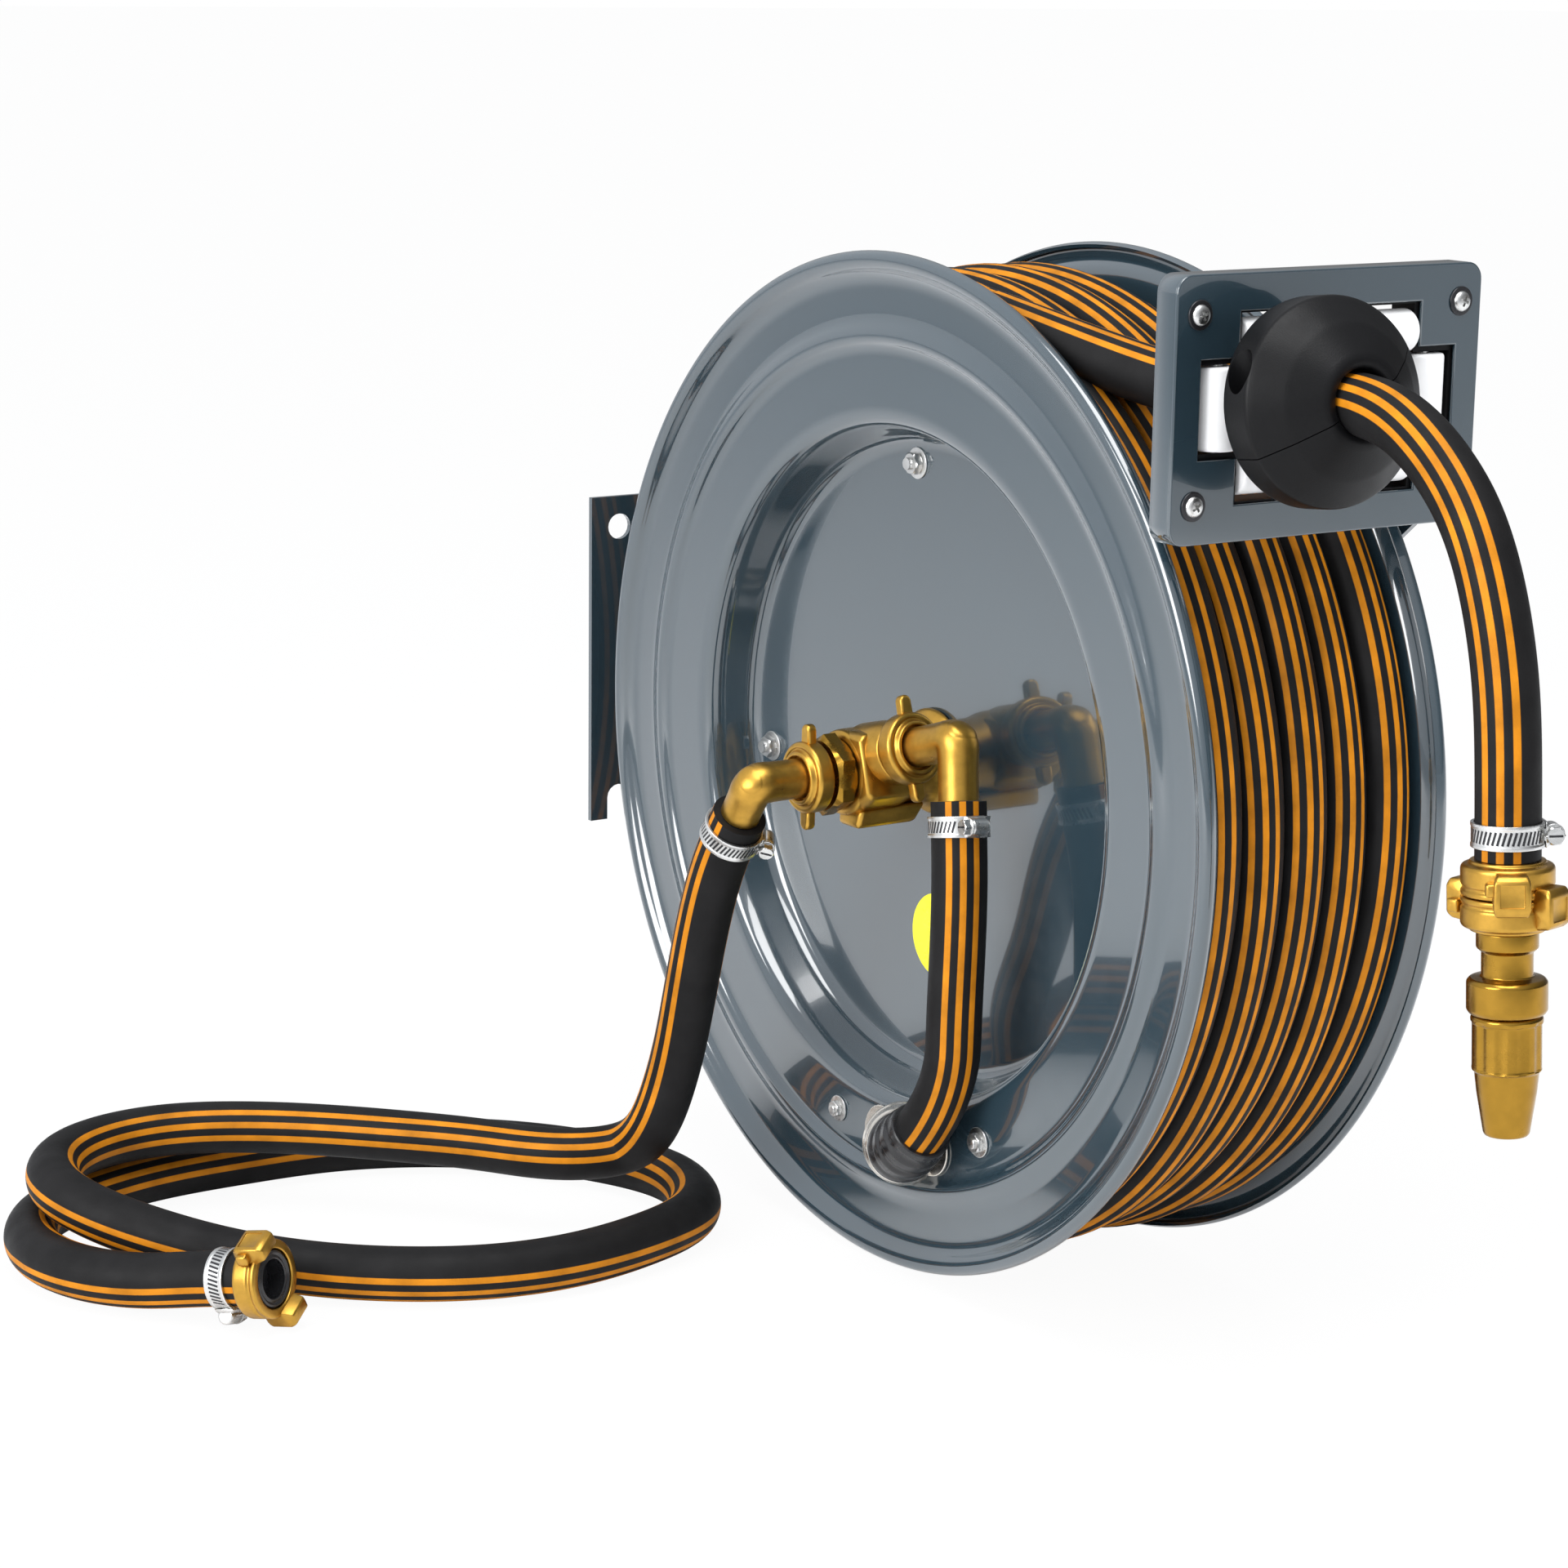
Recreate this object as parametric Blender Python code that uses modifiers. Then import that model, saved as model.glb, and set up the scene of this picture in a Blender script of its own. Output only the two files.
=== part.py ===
"""Wall-mounted automatic hose reel of pressed steel, with its hose, brass fittings and roller guide.

Frame: the origin is on the back face of the wall plate, level with the reel axis. +X runs along
the reel axis away from the water inlet, -Y points away from the wall and +Z is up. Metres.
"""

import math

import bmesh
import bpy
import numpy as np
from mathutils import Matrix, Vector

# Air between pieces that touch on the real reel, and round a shaft that turns
GAP = 0.0003
RUNNING_GAP = 0.0005

# Drum
FLANGE_RADIUS = 0.250
FLANGE_SPREAD = 0.135
SHEET = 0.0018
BAND_WIDTH = 0.085
BOWL_DEPTH = 0.0315
RIM_OUTREACH = 0.0042
RIM_COVER = 0.009
WALL_CLEARANCE = 0.030
HUB_BORE = 0.0255
HUB_BOLT_COUNT = 4
HUB_BOLT_FIRST = math.radians(97.7)
HUB_BOLT_RADIUS = 0.003
GROMMET_ANGLE = math.radians(277.1)

# Hose
HOSE_RADIUS = 0.0135
WINDING_GAP = 0.0008
TURN_POINTS = 24
LEAD_ANGLE = math.radians(82.5)

# Shaft, bearings and rewind spring
SHAFT_RADIUS = 0.010
BUSH_FLANGE_RADIUS = 0.033
SPRING_CASE_RADIUS = 0.085
SPRING_CASE_DEPTH = 0.052
SPRING_TURNS = 5

# Ratchet
RATCHET_RADIUS = 0.060
RATCHET_DEPTH = 0.005
RATCHET_TEETH = 12
RATCHET_WIDTH = 0.006
RATCHET_PHASE = math.radians(44.4)
PAWL_PIVOT = (0.0760, 0.0300)
PAWL_TIP = (0.0452, 0.0440)
PAWL_PIN_RADIUS = 0.004

# Frame
PLATE_THICKNESS = 0.003
PLATE_LEFT = -0.068
PLATE_TOP = 0.0963
PLATE_BOTTOM = -0.0833
MOUNT_HOLE_RADIUS = 0.007
MOUNT_HOLE_X = 0.0506
MOUNT_HOLE_Z = 0.0796
MOUNT_SLOT_TOP = -0.0643
SIDE_FLANGE = 0.045
ARM_CLEARANCE = 0.0038
ARM_BOLT_RADIUS = 0.004

# Hose guide
GUIDE_ANGLE = math.radians(40.4)
GUIDE_FROM_RIM = 0.0586
GUIDE_EDGE = 0.014
ROLLER_RADIUS = 0.00975
ROLLER_PIN_RADIUS = 0.0025
LONG_ROLLER = 0.097
BLOCK_DEPTH = ROLLER_RADIUS + 0.00515

# Hose stop
STOP_RADIUS = 0.045
STOP_BAND = 0.018
STOP_LENGTH = 0.060
STOP_NOSE = HOSE_RADIUS + 0.006
STOP_PITCH = math.radians(6.9)
STOP_YAW = math.radians(5.7)
STOP_SEAM = math.radians(29)

# Clamps, couplings and nozzle
CLAMP_WIDTH = 0.010
CLAMP_BAND = 0.0015
COUPLING_RADIUS = 0.0188
COUPLING_LENGTH = 0.0142
CLAW_REACH = 0.0252

# Brass water fittings
PIPE_RADIUS = 0.0098
THREAD_RADIUS = 0.0130
NUT_RADIUS = 0.0174
NUT_LENGTH = 0.0112
EAR_REACH = 0.0262
HEX_RADIUS = 0.0175
HEX_LENGTH = 0.0107
THREAD_LENGTH = 0.0085
BODY_RADIUS = 0.0222
BODY_REACH = 0.0260

HALF_SPREAD = FLANGE_SPREAD / 2
REEL_Y = -(FLANGE_RADIUS + WALL_CLEARANCE)
BOWL_RADIUS = FLANGE_RADIUS - BAND_WIDTH
HUB_FACE = HALF_SPREAD - BOWL_DEPTH
HUB_INNER = HUB_FACE - SHEET
BAND_FACE = HALF_SPREAD - 0.0035
BAND_INNER = BAND_FACE - SHEET
SIDE_X = HALF_SPREAD + RIM_OUTREACH + ARM_CLEARANCE
ARM_X = SIDE_X + PLATE_THICKNESS + GAP
SHAFT_BORE = SHAFT_RADIUS + RUNNING_GAP
FLOOR_Z = -FLANGE_RADIUS

AXIS_X = Vector((1, 0, 0))
AXIS_Y = Vector((0, 1, 0))
AXIS_Z = Vector((0, 0, 1))


def reel_point(x, y, z):
    """A point given from the middle of the reel axis."""
    return Vector((x, REEL_Y + y, z))


def clear_scene():
    for old in list(bpy.data.objects):
        bpy.data.objects.remove(old)


def new_collection(name):
    made = bpy.data.collections.new(name)
    bpy.context.scene.collection.children.link(made)
    return made


def new_material(name, colour, roughness, metallic):
    made = bpy.data.materials.new(name)
    made.use_nodes = True
    shader = made.node_tree.nodes["Principled BSDF"]
    shader.inputs["Base Color"].default_value = (*colour, 1)
    shader.inputs["Roughness"].default_value = roughness
    shader.inputs["Metallic"].default_value = metallic
    return made


clear_scene()
PARTS = new_collection("HoseReel")
CUTTERS = new_collection("Cutters")
PAINT = new_material("blue_grey_paint", (0.13, 0.18, 0.21), 0.25, 0.0)
BRASS = new_material("brass", (0.72, 0.47, 0.13), 0.25, 1.0)
STEEL = new_material("zinc_steel", (0.62, 0.62, 0.60), 0.3, 1.0)
RUBBER = new_material("black_hose", (0.02, 0.02, 0.02), 0.6, 0.0)
BLACK = new_material("black_plastic", (0.025, 0.025, 0.027), 0.45, 0.0)
WHITE = new_material("white_plastic", (0.85, 0.85, 0.85), 0.4, 0.0)


def add_object(name, data, material, collection):
    made = bpy.data.objects.new(name, data)
    if material:
        data.materials.append(material)
    collection.objects.link(made)
    if collection is CUTTERS:
        made.hide_render = True
        made.display_type = "WIRE"
    return made


def finish_mesh(name, bm):
    bmesh.ops.recalc_face_normals(bm, faces=bm.faces)
    mesh = bpy.data.meshes.new(name)
    bm.to_mesh(mesh)
    bm.free()
    return mesh


def smooth(made, degrees=35):
    made.data.shade_smooth()
    made.data.set_sharp_from_angle(angle=math.radians(degrees))
    return made


def place(made, origin, way, up=None):
    """Puts an object's origin at a point, its Z along a direction and its X along another."""
    way = Vector(way).normalized()
    if up is None:
        turn = AXIS_Z.rotation_difference(way).to_matrix()
    else:
        up = (Vector(up) - way * way.dot(Vector(up))).normalized()
        turn = Matrix((up, way.cross(up), way)).transposed()
    made.matrix_world = Matrix.Translation(Vector(origin)) @ turn.to_4x4()
    return made


def block(name, centre, size, material=None, collection=CUTTERS, way=AXIS_Z, up=AXIS_X):
    """A box about its centre. Its size is given along up, across, and along way."""
    bm = bmesh.new()
    bmesh.ops.create_cube(bm, size=1)
    bmesh.ops.scale(bm, vec=size, verts=bm.verts)
    return place(add_object(name, finish_mesh(name, bm), material, collection), centre, way, up)


def rod(name, start, end, radius, material=None, collection=CUTTERS, sides=16, end_radius=None, up=None):
    """A straight bar with flat or round sides, or a cone, between two points."""
    start = Vector(start)
    end = Vector(end)
    bm = bmesh.new()
    bmesh.ops.create_cone(
        bm,
        cap_ends=True,
        segments=sides,
        radius1=radius,
        radius2=radius if end_radius is None else end_radius,
        depth=(end - start).length,
    )
    made = add_object(name, finish_mesh(name, bm), material, collection)
    place(made, (start + end) / 2, end - start, up)
    return smooth(made) if sides > 8 else made


def turned(name, profile, origin, way, material, steps=24, closed=True, collection=PARTS):
    """A profile of (radius, height) points turned round an axis. It runs down its outer side."""
    bm = bmesh.new()
    verts = [bm.verts.new((radius, 0, height)) for radius, height in profile]
    pairs = list(zip(verts, verts[1:]))
    if closed:
        pairs.append((verts[-1], verts[0]))
    for first, second in pairs:
        bm.edges.new((first, second))
    mesh = bpy.data.meshes.new(name)
    bm.to_mesh(mesh)
    bm.free()
    made = place(add_object(name, mesh, material, collection), origin, way)
    screw = made.modifiers.new("Screw", "SCREW")
    screw.steps = steps
    screw.render_steps = steps
    screw.use_smooth_shade = True
    screw.use_merge_vertices = True
    screw.merge_threshold = 0.00001
    return made


def ring_profile(inner, outer, low, high):
    return [(outer, high), (outer, low), (inner, low), (inner, high)]


def as_mesh(made):
    """Turns a curve object into a welded mesh object, so that it can be cut or joined."""
    bpy.context.view_layer.update()
    graph = bpy.context.evaluated_depsgraph_get()
    mesh = bpy.data.meshes.new_from_object(made.evaluated_get(graph))
    bm = bmesh.new()
    bm.from_mesh(mesh)
    bmesh.ops.remove_doubles(bm, verts=bm.verts, dist=0.00001)
    bmesh.ops.recalc_face_normals(bm, faces=bm.faces)
    bm.to_mesh(mesh)
    bm.free()
    name = made.name
    matrix = made.matrix_world.copy()
    home = made.users_collection[0]
    bpy.data.objects.remove(made)
    welded = add_object(name, mesh, None, home)
    welded.matrix_world = matrix
    return welded


def plate(name, outlines, thickness, origin, across, up, material=None, collection=PARTS):
    """Flat outlines (the first is the edge, the others holes) given thickness about their plane."""
    curve = bpy.data.curves.new(name, "CURVE")
    curve.dimensions = "2D"
    curve.fill_mode = "BOTH"
    curve.extrude = thickness / 2
    for outline in outlines:
        spline = curve.splines.new("POLY")
        spline.points.add(len(outline) - 1)
        for point, spot in zip(spline.points, outline):
            point.co = (spot[0], spot[1], 0, 1)
        spline.use_cyclic_u = True
    made = add_object(name, curve, material, collection)
    place(made, origin, Vector(across).cross(Vector(up)), across)
    return as_mesh(made)


def tube(name, points, radius, material=None, resolution=2, collection=PARTS):
    curve = bpy.data.curves.new(name, "CURVE")
    curve.dimensions = "3D"
    curve.bevel_depth = radius
    curve.bevel_resolution = resolution
    curve.use_fill_caps = True
    spline = curve.splines.new("POLY")
    spline.points.add(len(points) - 1)
    for point, spot in zip(spline.points, points):
        point.co = (*spot, 1)
    spline.use_smooth = True
    return as_mesh(add_object(name, curve, material, collection))


def cut(target, *tools):
    for tool in tools:
        boolean(target, tool, "DIFFERENCE")
    return target


def fuse(target, *tools):
    for tool in tools:
        boolean(target, tool, "UNION")
    return target


def boolean(target, tool, operation):
    modifier = target.modifiers.new(operation.title(), "BOOLEAN")
    modifier.operation = operation
    modifier.solver = "EXACT"
    modifier.object = tool


def arc_points(centre, radius, count, start, sweep):
    """Points along an arc, both ends included."""
    angles = [start + sweep * i / (count - 1) for i in range(count)]
    return [(centre[0] + radius * math.cos(a), centre[1] + radius * math.sin(a)) for a in angles]


def circle_points(centre, radius, count):
    """Points round a whole circle."""
    return arc_points(centre, radius, count + 1, 0, 2 * math.pi)[:-1]


def rounded_box(half_width, half_height, corner, points=4):
    """A rectangle about the origin with round corners."""
    outline = []
    for quarter, (sx, sy) in enumerate(((1, 1), (-1, 1), (-1, -1), (1, -1))):
        centre = (sx * (half_width - corner), sy * (half_height - corner))
        outline += arc_points(centre, corner, points, quarter * math.pi / 2, math.pi / 2)
    return outline


def cross_outline(wide, low, narrow, high):
    """A wide low slot crossed by a narrow high one, as half sizes."""
    quarter = [(wide, -low), (wide, low), (narrow, low), (narrow, high)]
    return quarter + [(-narrow, high), (-narrow, low), (-wide, low), (-wide, -low)] + [
        (-narrow, -low),
        (-narrow, -high),
        (narrow, -high),
        (narrow, -low),
    ]


def smooth_route(points, step):
    """Even points along the natural cubic spline through the route's own points."""
    points = np.array([tuple(p) for p in points])
    gaps = np.linalg.norm(np.diff(points, axis=0), axis=1)
    count = len(points)
    system = np.eye(count)
    right = np.zeros((count, 3))
    for i in range(1, count - 1):
        before = (points[i] - points[i - 1]) / gaps[i - 1]
        after = (points[i + 1] - points[i]) / gaps[i]
        system[i, i - 1] = gaps[i - 1]
        system[i, i] = 2 * (gaps[i - 1] + gaps[i])
        system[i, i + 1] = gaps[i]
        right[i] = 6 * (after - before)
    bends = np.linalg.solve(system, right)
    fine = []
    for i, gap in enumerate(gaps):
        for t in np.linspace(0, gap, 40, endpoint=i == count - 2):
            rest = gap - t
            spot = (bends[i] * rest**3 + bends[i + 1] * t**3) / (6 * gap)
            spot = spot + (points[i] / gap - bends[i] * gap / 6) * rest
            spot = spot + (points[i + 1] / gap - bends[i + 1] * gap / 6) * t
            fine.append(spot)
    fine = np.array(fine)
    along = np.concatenate([[0], np.cumsum(np.linalg.norm(np.diff(fine, axis=0), axis=1))])
    stops = np.linspace(0, along[-1], round(along[-1] / step) + 1)
    return [Vector([np.interp(s, along, fine[:, k]) for k in range(3)]) for s in stops]


def straight_out(points, way):
    """The same line with its first piece turned to leave straight in the given direction."""
    step = (points[1] - points[0]).length
    return [points[0], points[0] + way * step, *points[2:]]


def bend_between(start, start_way, end, end_way, reach, count):
    """Points along one smooth bend that leaves and arrives in the given directions."""
    pull_a = start + start_way * reach[0]
    pull_b = end - end_way * reach[1]
    points = []
    for i in range(count):
        t = i / (count - 1)
        a = start.lerp(pull_a, t)
        b = pull_a.lerp(pull_b, t)
        c = pull_b.lerp(end, t)
        points.append(a.lerp(b, t).lerp(b.lerp(c, t), t))
    return points


def route_length(points):
    return sum((q - p).length for p, q in zip(points, points[1:]))


def spot_on_drum(radius, angle, x):
    """A point on the drum. Angle 0 points away from the wall and 90 degrees up."""
    return reel_point(x, -radius * math.cos(angle), radius * math.sin(angle))


def dome_screw(name, spot, way, head_radius, head, shank_radius, shank):
    """A screw whose domed head sits on a face, with its shank running back into it."""
    profile = [
        (0, head),
        (head_radius * 0.70, head * 0.80),
        (head_radius, head * 0.2),
        (head_radius, 0),
        (shank_radius, 0),
        (shank_radius, -shank),
        (0, -shank),
    ]
    return turned(name, profile, spot, way, STEEL, 12, closed=False)


def hex_bolt(name, spot, way, grip):
    """A bolt whose hexagonal head stands on a face, with its shank running back through it."""
    head = rod(name, spot, spot + way * 0.005, 0.0080, STEEL, PARTS, sides=6, up=AXIS_Z)
    shank = rod(name + "_shank", spot + way * 0.002, spot - way * grip, ARM_BOLT_RADIUS, sides=12)
    return fuse(head, shank)


def hose_clamp(name, centre, way, screw_way):
    """A worm-drive clamp: a band round the hose with its screw housing on one side."""
    inner = (HOSE_RADIUS + GAP) / math.cos(math.pi / 20)
    outer = inner + CLAMP_BAND
    half = CLAMP_WIDTH / 2
    band = turned(name, ring_profile(inner, outer, -half, half), centre, way, STEEL, 20)
    side = (screw_way - way * way.dot(screw_way)).normalized()
    across = way.cross(side)
    middle = centre + side * (outer + 0.0022)
    housing = block(name + "_housing", middle, (0.0058, 0.011, CLAMP_WIDTH + 0.002), way=way, up=side)
    screw = rod(
        name + "_screw", middle - across * 0.0045, middle + across * 0.0105, 0.0036, sides=8, up=side
    )
    return fuse(band, housing, screw)


def wing_nut(name, start, way, ear_way, thread_cover):
    """A union nut with two ears. It covers a thread and closes round the pipe beyond it."""
    wide = (THREAD_RADIUS + RUNNING_GAP) / math.cos(math.pi / 24)
    narrow = (PIPE_RADIUS + RUNNING_GAP) / math.cos(math.pi / 24)
    profile = [
        (NUT_RADIUS - 0.0012, NUT_LENGTH),
        (NUT_RADIUS, NUT_LENGTH - 0.0015),
        (NUT_RADIUS, 0),
        (wide, 0),
        (wide, thread_cover),
        (narrow, thread_cover),
        (narrow, NUT_LENGTH),
    ]
    nut = turned(name, profile, start, way, BRASS)
    middle = start + way * (NUT_LENGTH / 2)
    for side in (-1, 1):
        reach = EAR_REACH - NUT_RADIUS + 0.0015
        ear = block(
            f"{name}_ear_{side}",
            middle + ear_way * side * (EAR_REACH - reach / 2),
            (reach, 0.0052, 0.0085),
            way=way,
            up=ear_way,
        )
        fuse(nut, ear)
    return nut


def elbow(name, start, corner, end):
    """A pipe that turns one corner on a short bend."""
    first = (start - corner).normalized()
    last = (end - corner).normalized()
    turn = 0.0125
    a = corner + first * turn
    b = corner + last * turn
    points = [start]
    for i in range(8):
        t = i / 7
        points.append(a.lerp(corner, t).lerp(corner.lerp(b, t), t))
    points.append(end)
    return tube(name, points, PIPE_RADIUS, BRASS, 3)


def claw_half(name, start, way, claw_way, material):
    """Half of a claw coupling: a short neck, a round body, and two claws at its face."""
    neck = 0.0025
    profile = [
        (0, COUPLING_LENGTH),
        (COUPLING_RADIUS - 0.0008, COUPLING_LENGTH),
        (COUPLING_RADIUS, COUPLING_LENGTH - 0.0010),
        (COUPLING_RADIUS, neck + 0.0015),
        (COUPLING_RADIUS - 0.0015, neck),
        (0.0150, neck),
        (0.0150, 0),
        (0, 0),
    ]
    made = turned(name, profile, start, way, material, closed=False)
    claw_way = (claw_way - way * way.dot(claw_way)).normalized()
    for side in (-1, 1):
        reach = CLAW_REACH - COUPLING_RADIUS + 0.0045
        middle = start + way * (COUPLING_LENGTH - 0.0048) + claw_way * side * (CLAW_REACH - reach / 2)
        claw = block(f"{name}_claw_{side}", middle, (reach, 0.0165, 0.0080), way=way, up=claw_way)
        fuse(made, claw)
    return made


# ---------------------------------------------------------------------------------------------
# Drum flanges: pressed discs with a rolled rim, a raised bead, a deep bowl and a flat hub plate
# ---------------------------------------------------------------------------------------------


def flange_profile():
    rim = FLANGE_RADIUS
    lip = BOWL_RADIUS
    face = HALF_SPREAD
    return [
        (HUB_BORE, HUB_FACE),
        (lip - 0.0090, HUB_FACE),
        (lip - 0.0050, HUB_FACE + 0.0036),
        (lip - 0.0008, face - 0.0105),
        (lip + 0.0016, face - 0.0055),
        (lip + 0.0065, BAND_FACE),
        (rim - 0.0467, BAND_FACE),
        (rim - 0.0431, face - 0.0004),
        (rim - 0.0391, face - 0.0004),
        (rim - 0.0330, face - 0.0030),
        (rim - 0.0150, face - 0.0030),
        (rim - 0.0112, face - 0.0010),
        (rim - 0.0085, face + 0.0024),
        (rim - 0.0050, face + RIM_OUTREACH),
        (rim - 0.0016, face + 0.0030),
        (rim, face),
        (rim - 0.0022, face - 0.0037),
    ]


def flange(name, outward):
    made = turned(name, flange_profile(), reel_point(0, 0, 0), outward, PAINT, 32, closed=False)
    shell = made.modifiers.new("Solidify", "SOLIDIFY")
    shell.thickness = SHEET
    shell.offset = -1
    shell.use_even_offset = True
    return made


front_flange = flange("front_flange", -AXIS_X)
rear_flange = flange("rear_flange", AXIS_X)
HUB_BOLT_CIRCLE = BOWL_RADIUS - 0.0190
HUB_BOLT_ANGLES = [HUB_BOLT_FIRST + i * 2 * math.pi / HUB_BOLT_COUNT for i in range(HUB_BOLT_COUNT)]
for index, angle in enumerate(HUB_BOLT_ANGLES):
    hole = rod(
        f"hub_bolt_hole_{index}",
        spot_on_drum(HUB_BOLT_CIRCLE, angle, -HUB_FACE - 0.003),
        spot_on_drum(HUB_BOLT_CIRCLE, angle, -HUB_INNER + 0.002),
        HUB_BOLT_RADIUS + RUNNING_GAP,
        sides=10,
    )
    cut(front_flange, hole)

# ---------------------------------------------------------------------------------------------
# Inside the drum: core band, backing ring with its studs, spring case and flat spiral spring
# ---------------------------------------------------------------------------------------------

CORE_OUTER = BOWL_RADIUS - 0.0115
CORE_HALF = HUB_INNER - GAP
turned(
    "drum_core",
    ring_profile(CORE_OUTER - 0.0015, CORE_OUTER, -CORE_HALF, CORE_HALF),
    reel_point(0, 0, 0),
    AXIS_X,
    PAINT,
)

RING_BACK = CORE_HALF - 0.003
hub_bolt_ring = turned(
    "hub_bolt_ring",
    ring_profile(HUB_BOLT_CIRCLE - 0.0065, HUB_BOLT_CIRCLE + 0.0050, -CORE_HALF, -RING_BACK),
    reel_point(0, 0, 0),
    AXIS_X,
    STEEL,
)
for index, angle in enumerate(HUB_BOLT_ANGLES):
    nut_face = -HUB_FACE - GAP
    stud = rod(
        f"hub_stud_{index}",
        spot_on_drum(HUB_BOLT_CIRCLE, angle, -RING_BACK - 0.001),
        spot_on_drum(HUB_BOLT_CIRCLE, angle, nut_face - 0.0070),
        HUB_BOLT_RADIUS,
        sides=10,
    )
    nut = rod(
        f"hub_nut_{index}",
        spot_on_drum(HUB_BOLT_CIRCLE, angle, nut_face),
        spot_on_drum(HUB_BOLT_CIRCLE, angle, nut_face - 0.0045),
        0.0052,
        sides=6,
    )
    fuse(hub_bolt_ring, stud, nut)

CASE_WALL = 0.0015
CASE_FRONT = -CORE_HALF
CASE_REAR = CASE_FRONT + SPRING_CASE_DEPTH
ARBOR_START = CASE_FRONT + 0.0060
ARBOR_END = CASE_REAR - 0.0060
ARBOR_RADIUS = 0.0165
turned(
    "spring_case",
    [
        (SPRING_CASE_RADIUS, CASE_REAR),
        (SPRING_CASE_RADIUS, CASE_FRONT),
        (SPRING_CASE_RADIUS - CASE_WALL, CASE_FRONT),
        (SPRING_CASE_RADIUS - CASE_WALL, CASE_REAR - CASE_WALL),
        (SHAFT_BORE + 0.004, CASE_REAR - CASE_WALL),
        (SHAFT_BORE + 0.004, CASE_REAR),
    ],
    reel_point(0, 0, 0),
    AXIS_X,
    STEEL,
)


def rewind_spring():
    """A flat strip wound from just outside the shaft's arbor out to the wall of its case."""
    strip = 0.0012
    inner = ARBOR_RADIUS + 0.0013
    outer = (SPRING_CASE_RADIUS - CASE_WALL) * math.cos(math.pi / 24) - strip / 2 - GAP
    count = 12 * SPRING_TURNS
    outer_side = []
    inner_side = []
    for i in range(count + 1):
        angle = 2 * math.pi * i / 12
        middle = inner + (outer - inner) * i / count
        way = (math.cos(angle), math.sin(angle))
        outer_side.append((way[0] * (middle + strip / 2), way[1] * (middle + strip / 2)))
        inner_side.append((way[0] * (middle - strip / 2), way[1] * (middle - strip / 2)))
    width = ARBOR_END - ARBOR_START
    centre = reel_point((ARBOR_START + ARBOR_END) / 2, 0, 0)
    return plate("rewind_spring", [outer_side + inner_side[::-1]], width, centre, AXIS_Y, AXIS_Z, STEEL)


rewind_spring()


def flanged_bush(name, side):
    """A plain bearing whose boss fills the hub bore and whose flange lies inside the drum."""
    profile = [
        (HUB_BORE - 2 * GAP, HUB_FACE - GAP),
        (HUB_BORE - 2 * GAP, CORE_HALF),
        (BUSH_FLANGE_RADIUS, CORE_HALF),
        (BUSH_FLANGE_RADIUS, RING_BACK),
        (SHAFT_BORE, RING_BACK),
        (SHAFT_BORE, HUB_FACE - GAP),
    ]
    return turned(name, profile, reel_point(0, 0, 0), AXIS_X * side, BLACK, 20)


flanged_bush("front_bush", -1)
flanged_bush("rear_bush", 1)

# ---------------------------------------------------------------------------------------------
# Fixed shaft with its spring arbor and spacer, and the flanged nut that holds it to the arms
# ---------------------------------------------------------------------------------------------

BODY_FRONT = HALF_SPREAD + BODY_REACH
ARM_STACK = ARM_X + 2 * PLATE_THICKNESS + 2 * GAP
SPACER_START = HUB_FACE + RATCHET_WIDTH + 0.0030
SHAFT_REAR = ARM_STACK + 0.0150
SHAFT_FRONT = -(BODY_FRONT + 0.0050)
turned(
    "main_shaft",
    [
        (0, SHAFT_REAR),
        (SHAFT_RADIUS, SHAFT_REAR),
        (SHAFT_RADIUS, ARM_X - GAP),
        (0.0160, ARM_X - GAP),
        (0.0160, SPACER_START),
        (SHAFT_RADIUS, SPACER_START),
        (SHAFT_RADIUS, ARBOR_END),
        (ARBOR_RADIUS, ARBOR_END),
        (ARBOR_RADIUS, ARBOR_START),
        (SHAFT_RADIUS, ARBOR_START),
        (SHAFT_RADIUS, SHAFT_FRONT),
        (0, SHAFT_FRONT),
    ],
    reel_point(0, 0, 0),
    AXIS_X,
    STEEL,
    20,
    closed=False,
)
shaft_nut = rod(
    "shaft_nut",
    reel_point(ARM_STACK, 0, 0),
    reel_point(ARM_STACK + 0.0115, 0, 0),
    0.0170,
    STEEL,
    PARTS,
    sides=6,
)
fuse(
    shaft_nut,
    rod("nut_flange", reel_point(ARM_STACK, 0, 0), reel_point(ARM_STACK + 0.0022, 0, 0), 0.0205, sides=20),
)
cut(
    shaft_nut,
    rod(
        "nut_bore",
        reel_point(ARM_STACK - 0.002, 0, 0),
        reel_point(ARM_STACK + 0.014, 0, 0),
        SHAFT_BORE,
        sides=20,
    ),
)

# ---------------------------------------------------------------------------------------------
# Ratchet wheel on the rear flange, and the pawl that swings on a pin of the support arm
# ---------------------------------------------------------------------------------------------

RATCHET_X = HUB_FACE + GAP + RATCHET_WIDTH / 2


def ratchet_outline():
    """Saw teeth: each has a steep face towards the pawl and falls away slowly behind it."""
    pitch = 2 * math.pi / RATCHET_TEETH
    outline = []
    for tooth in range(RATCHET_TEETH):
        for share, depth in ((0.0, 0.0), (0.5, 0.52), (0.97, 1.0)):
            radius = RATCHET_RADIUS - RATCHET_DEPTH * depth
            angle = RATCHET_PHASE + (tooth + share) * pitch
            outline.append((radius * math.cos(angle), radius * math.sin(angle)))
    return outline


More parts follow.
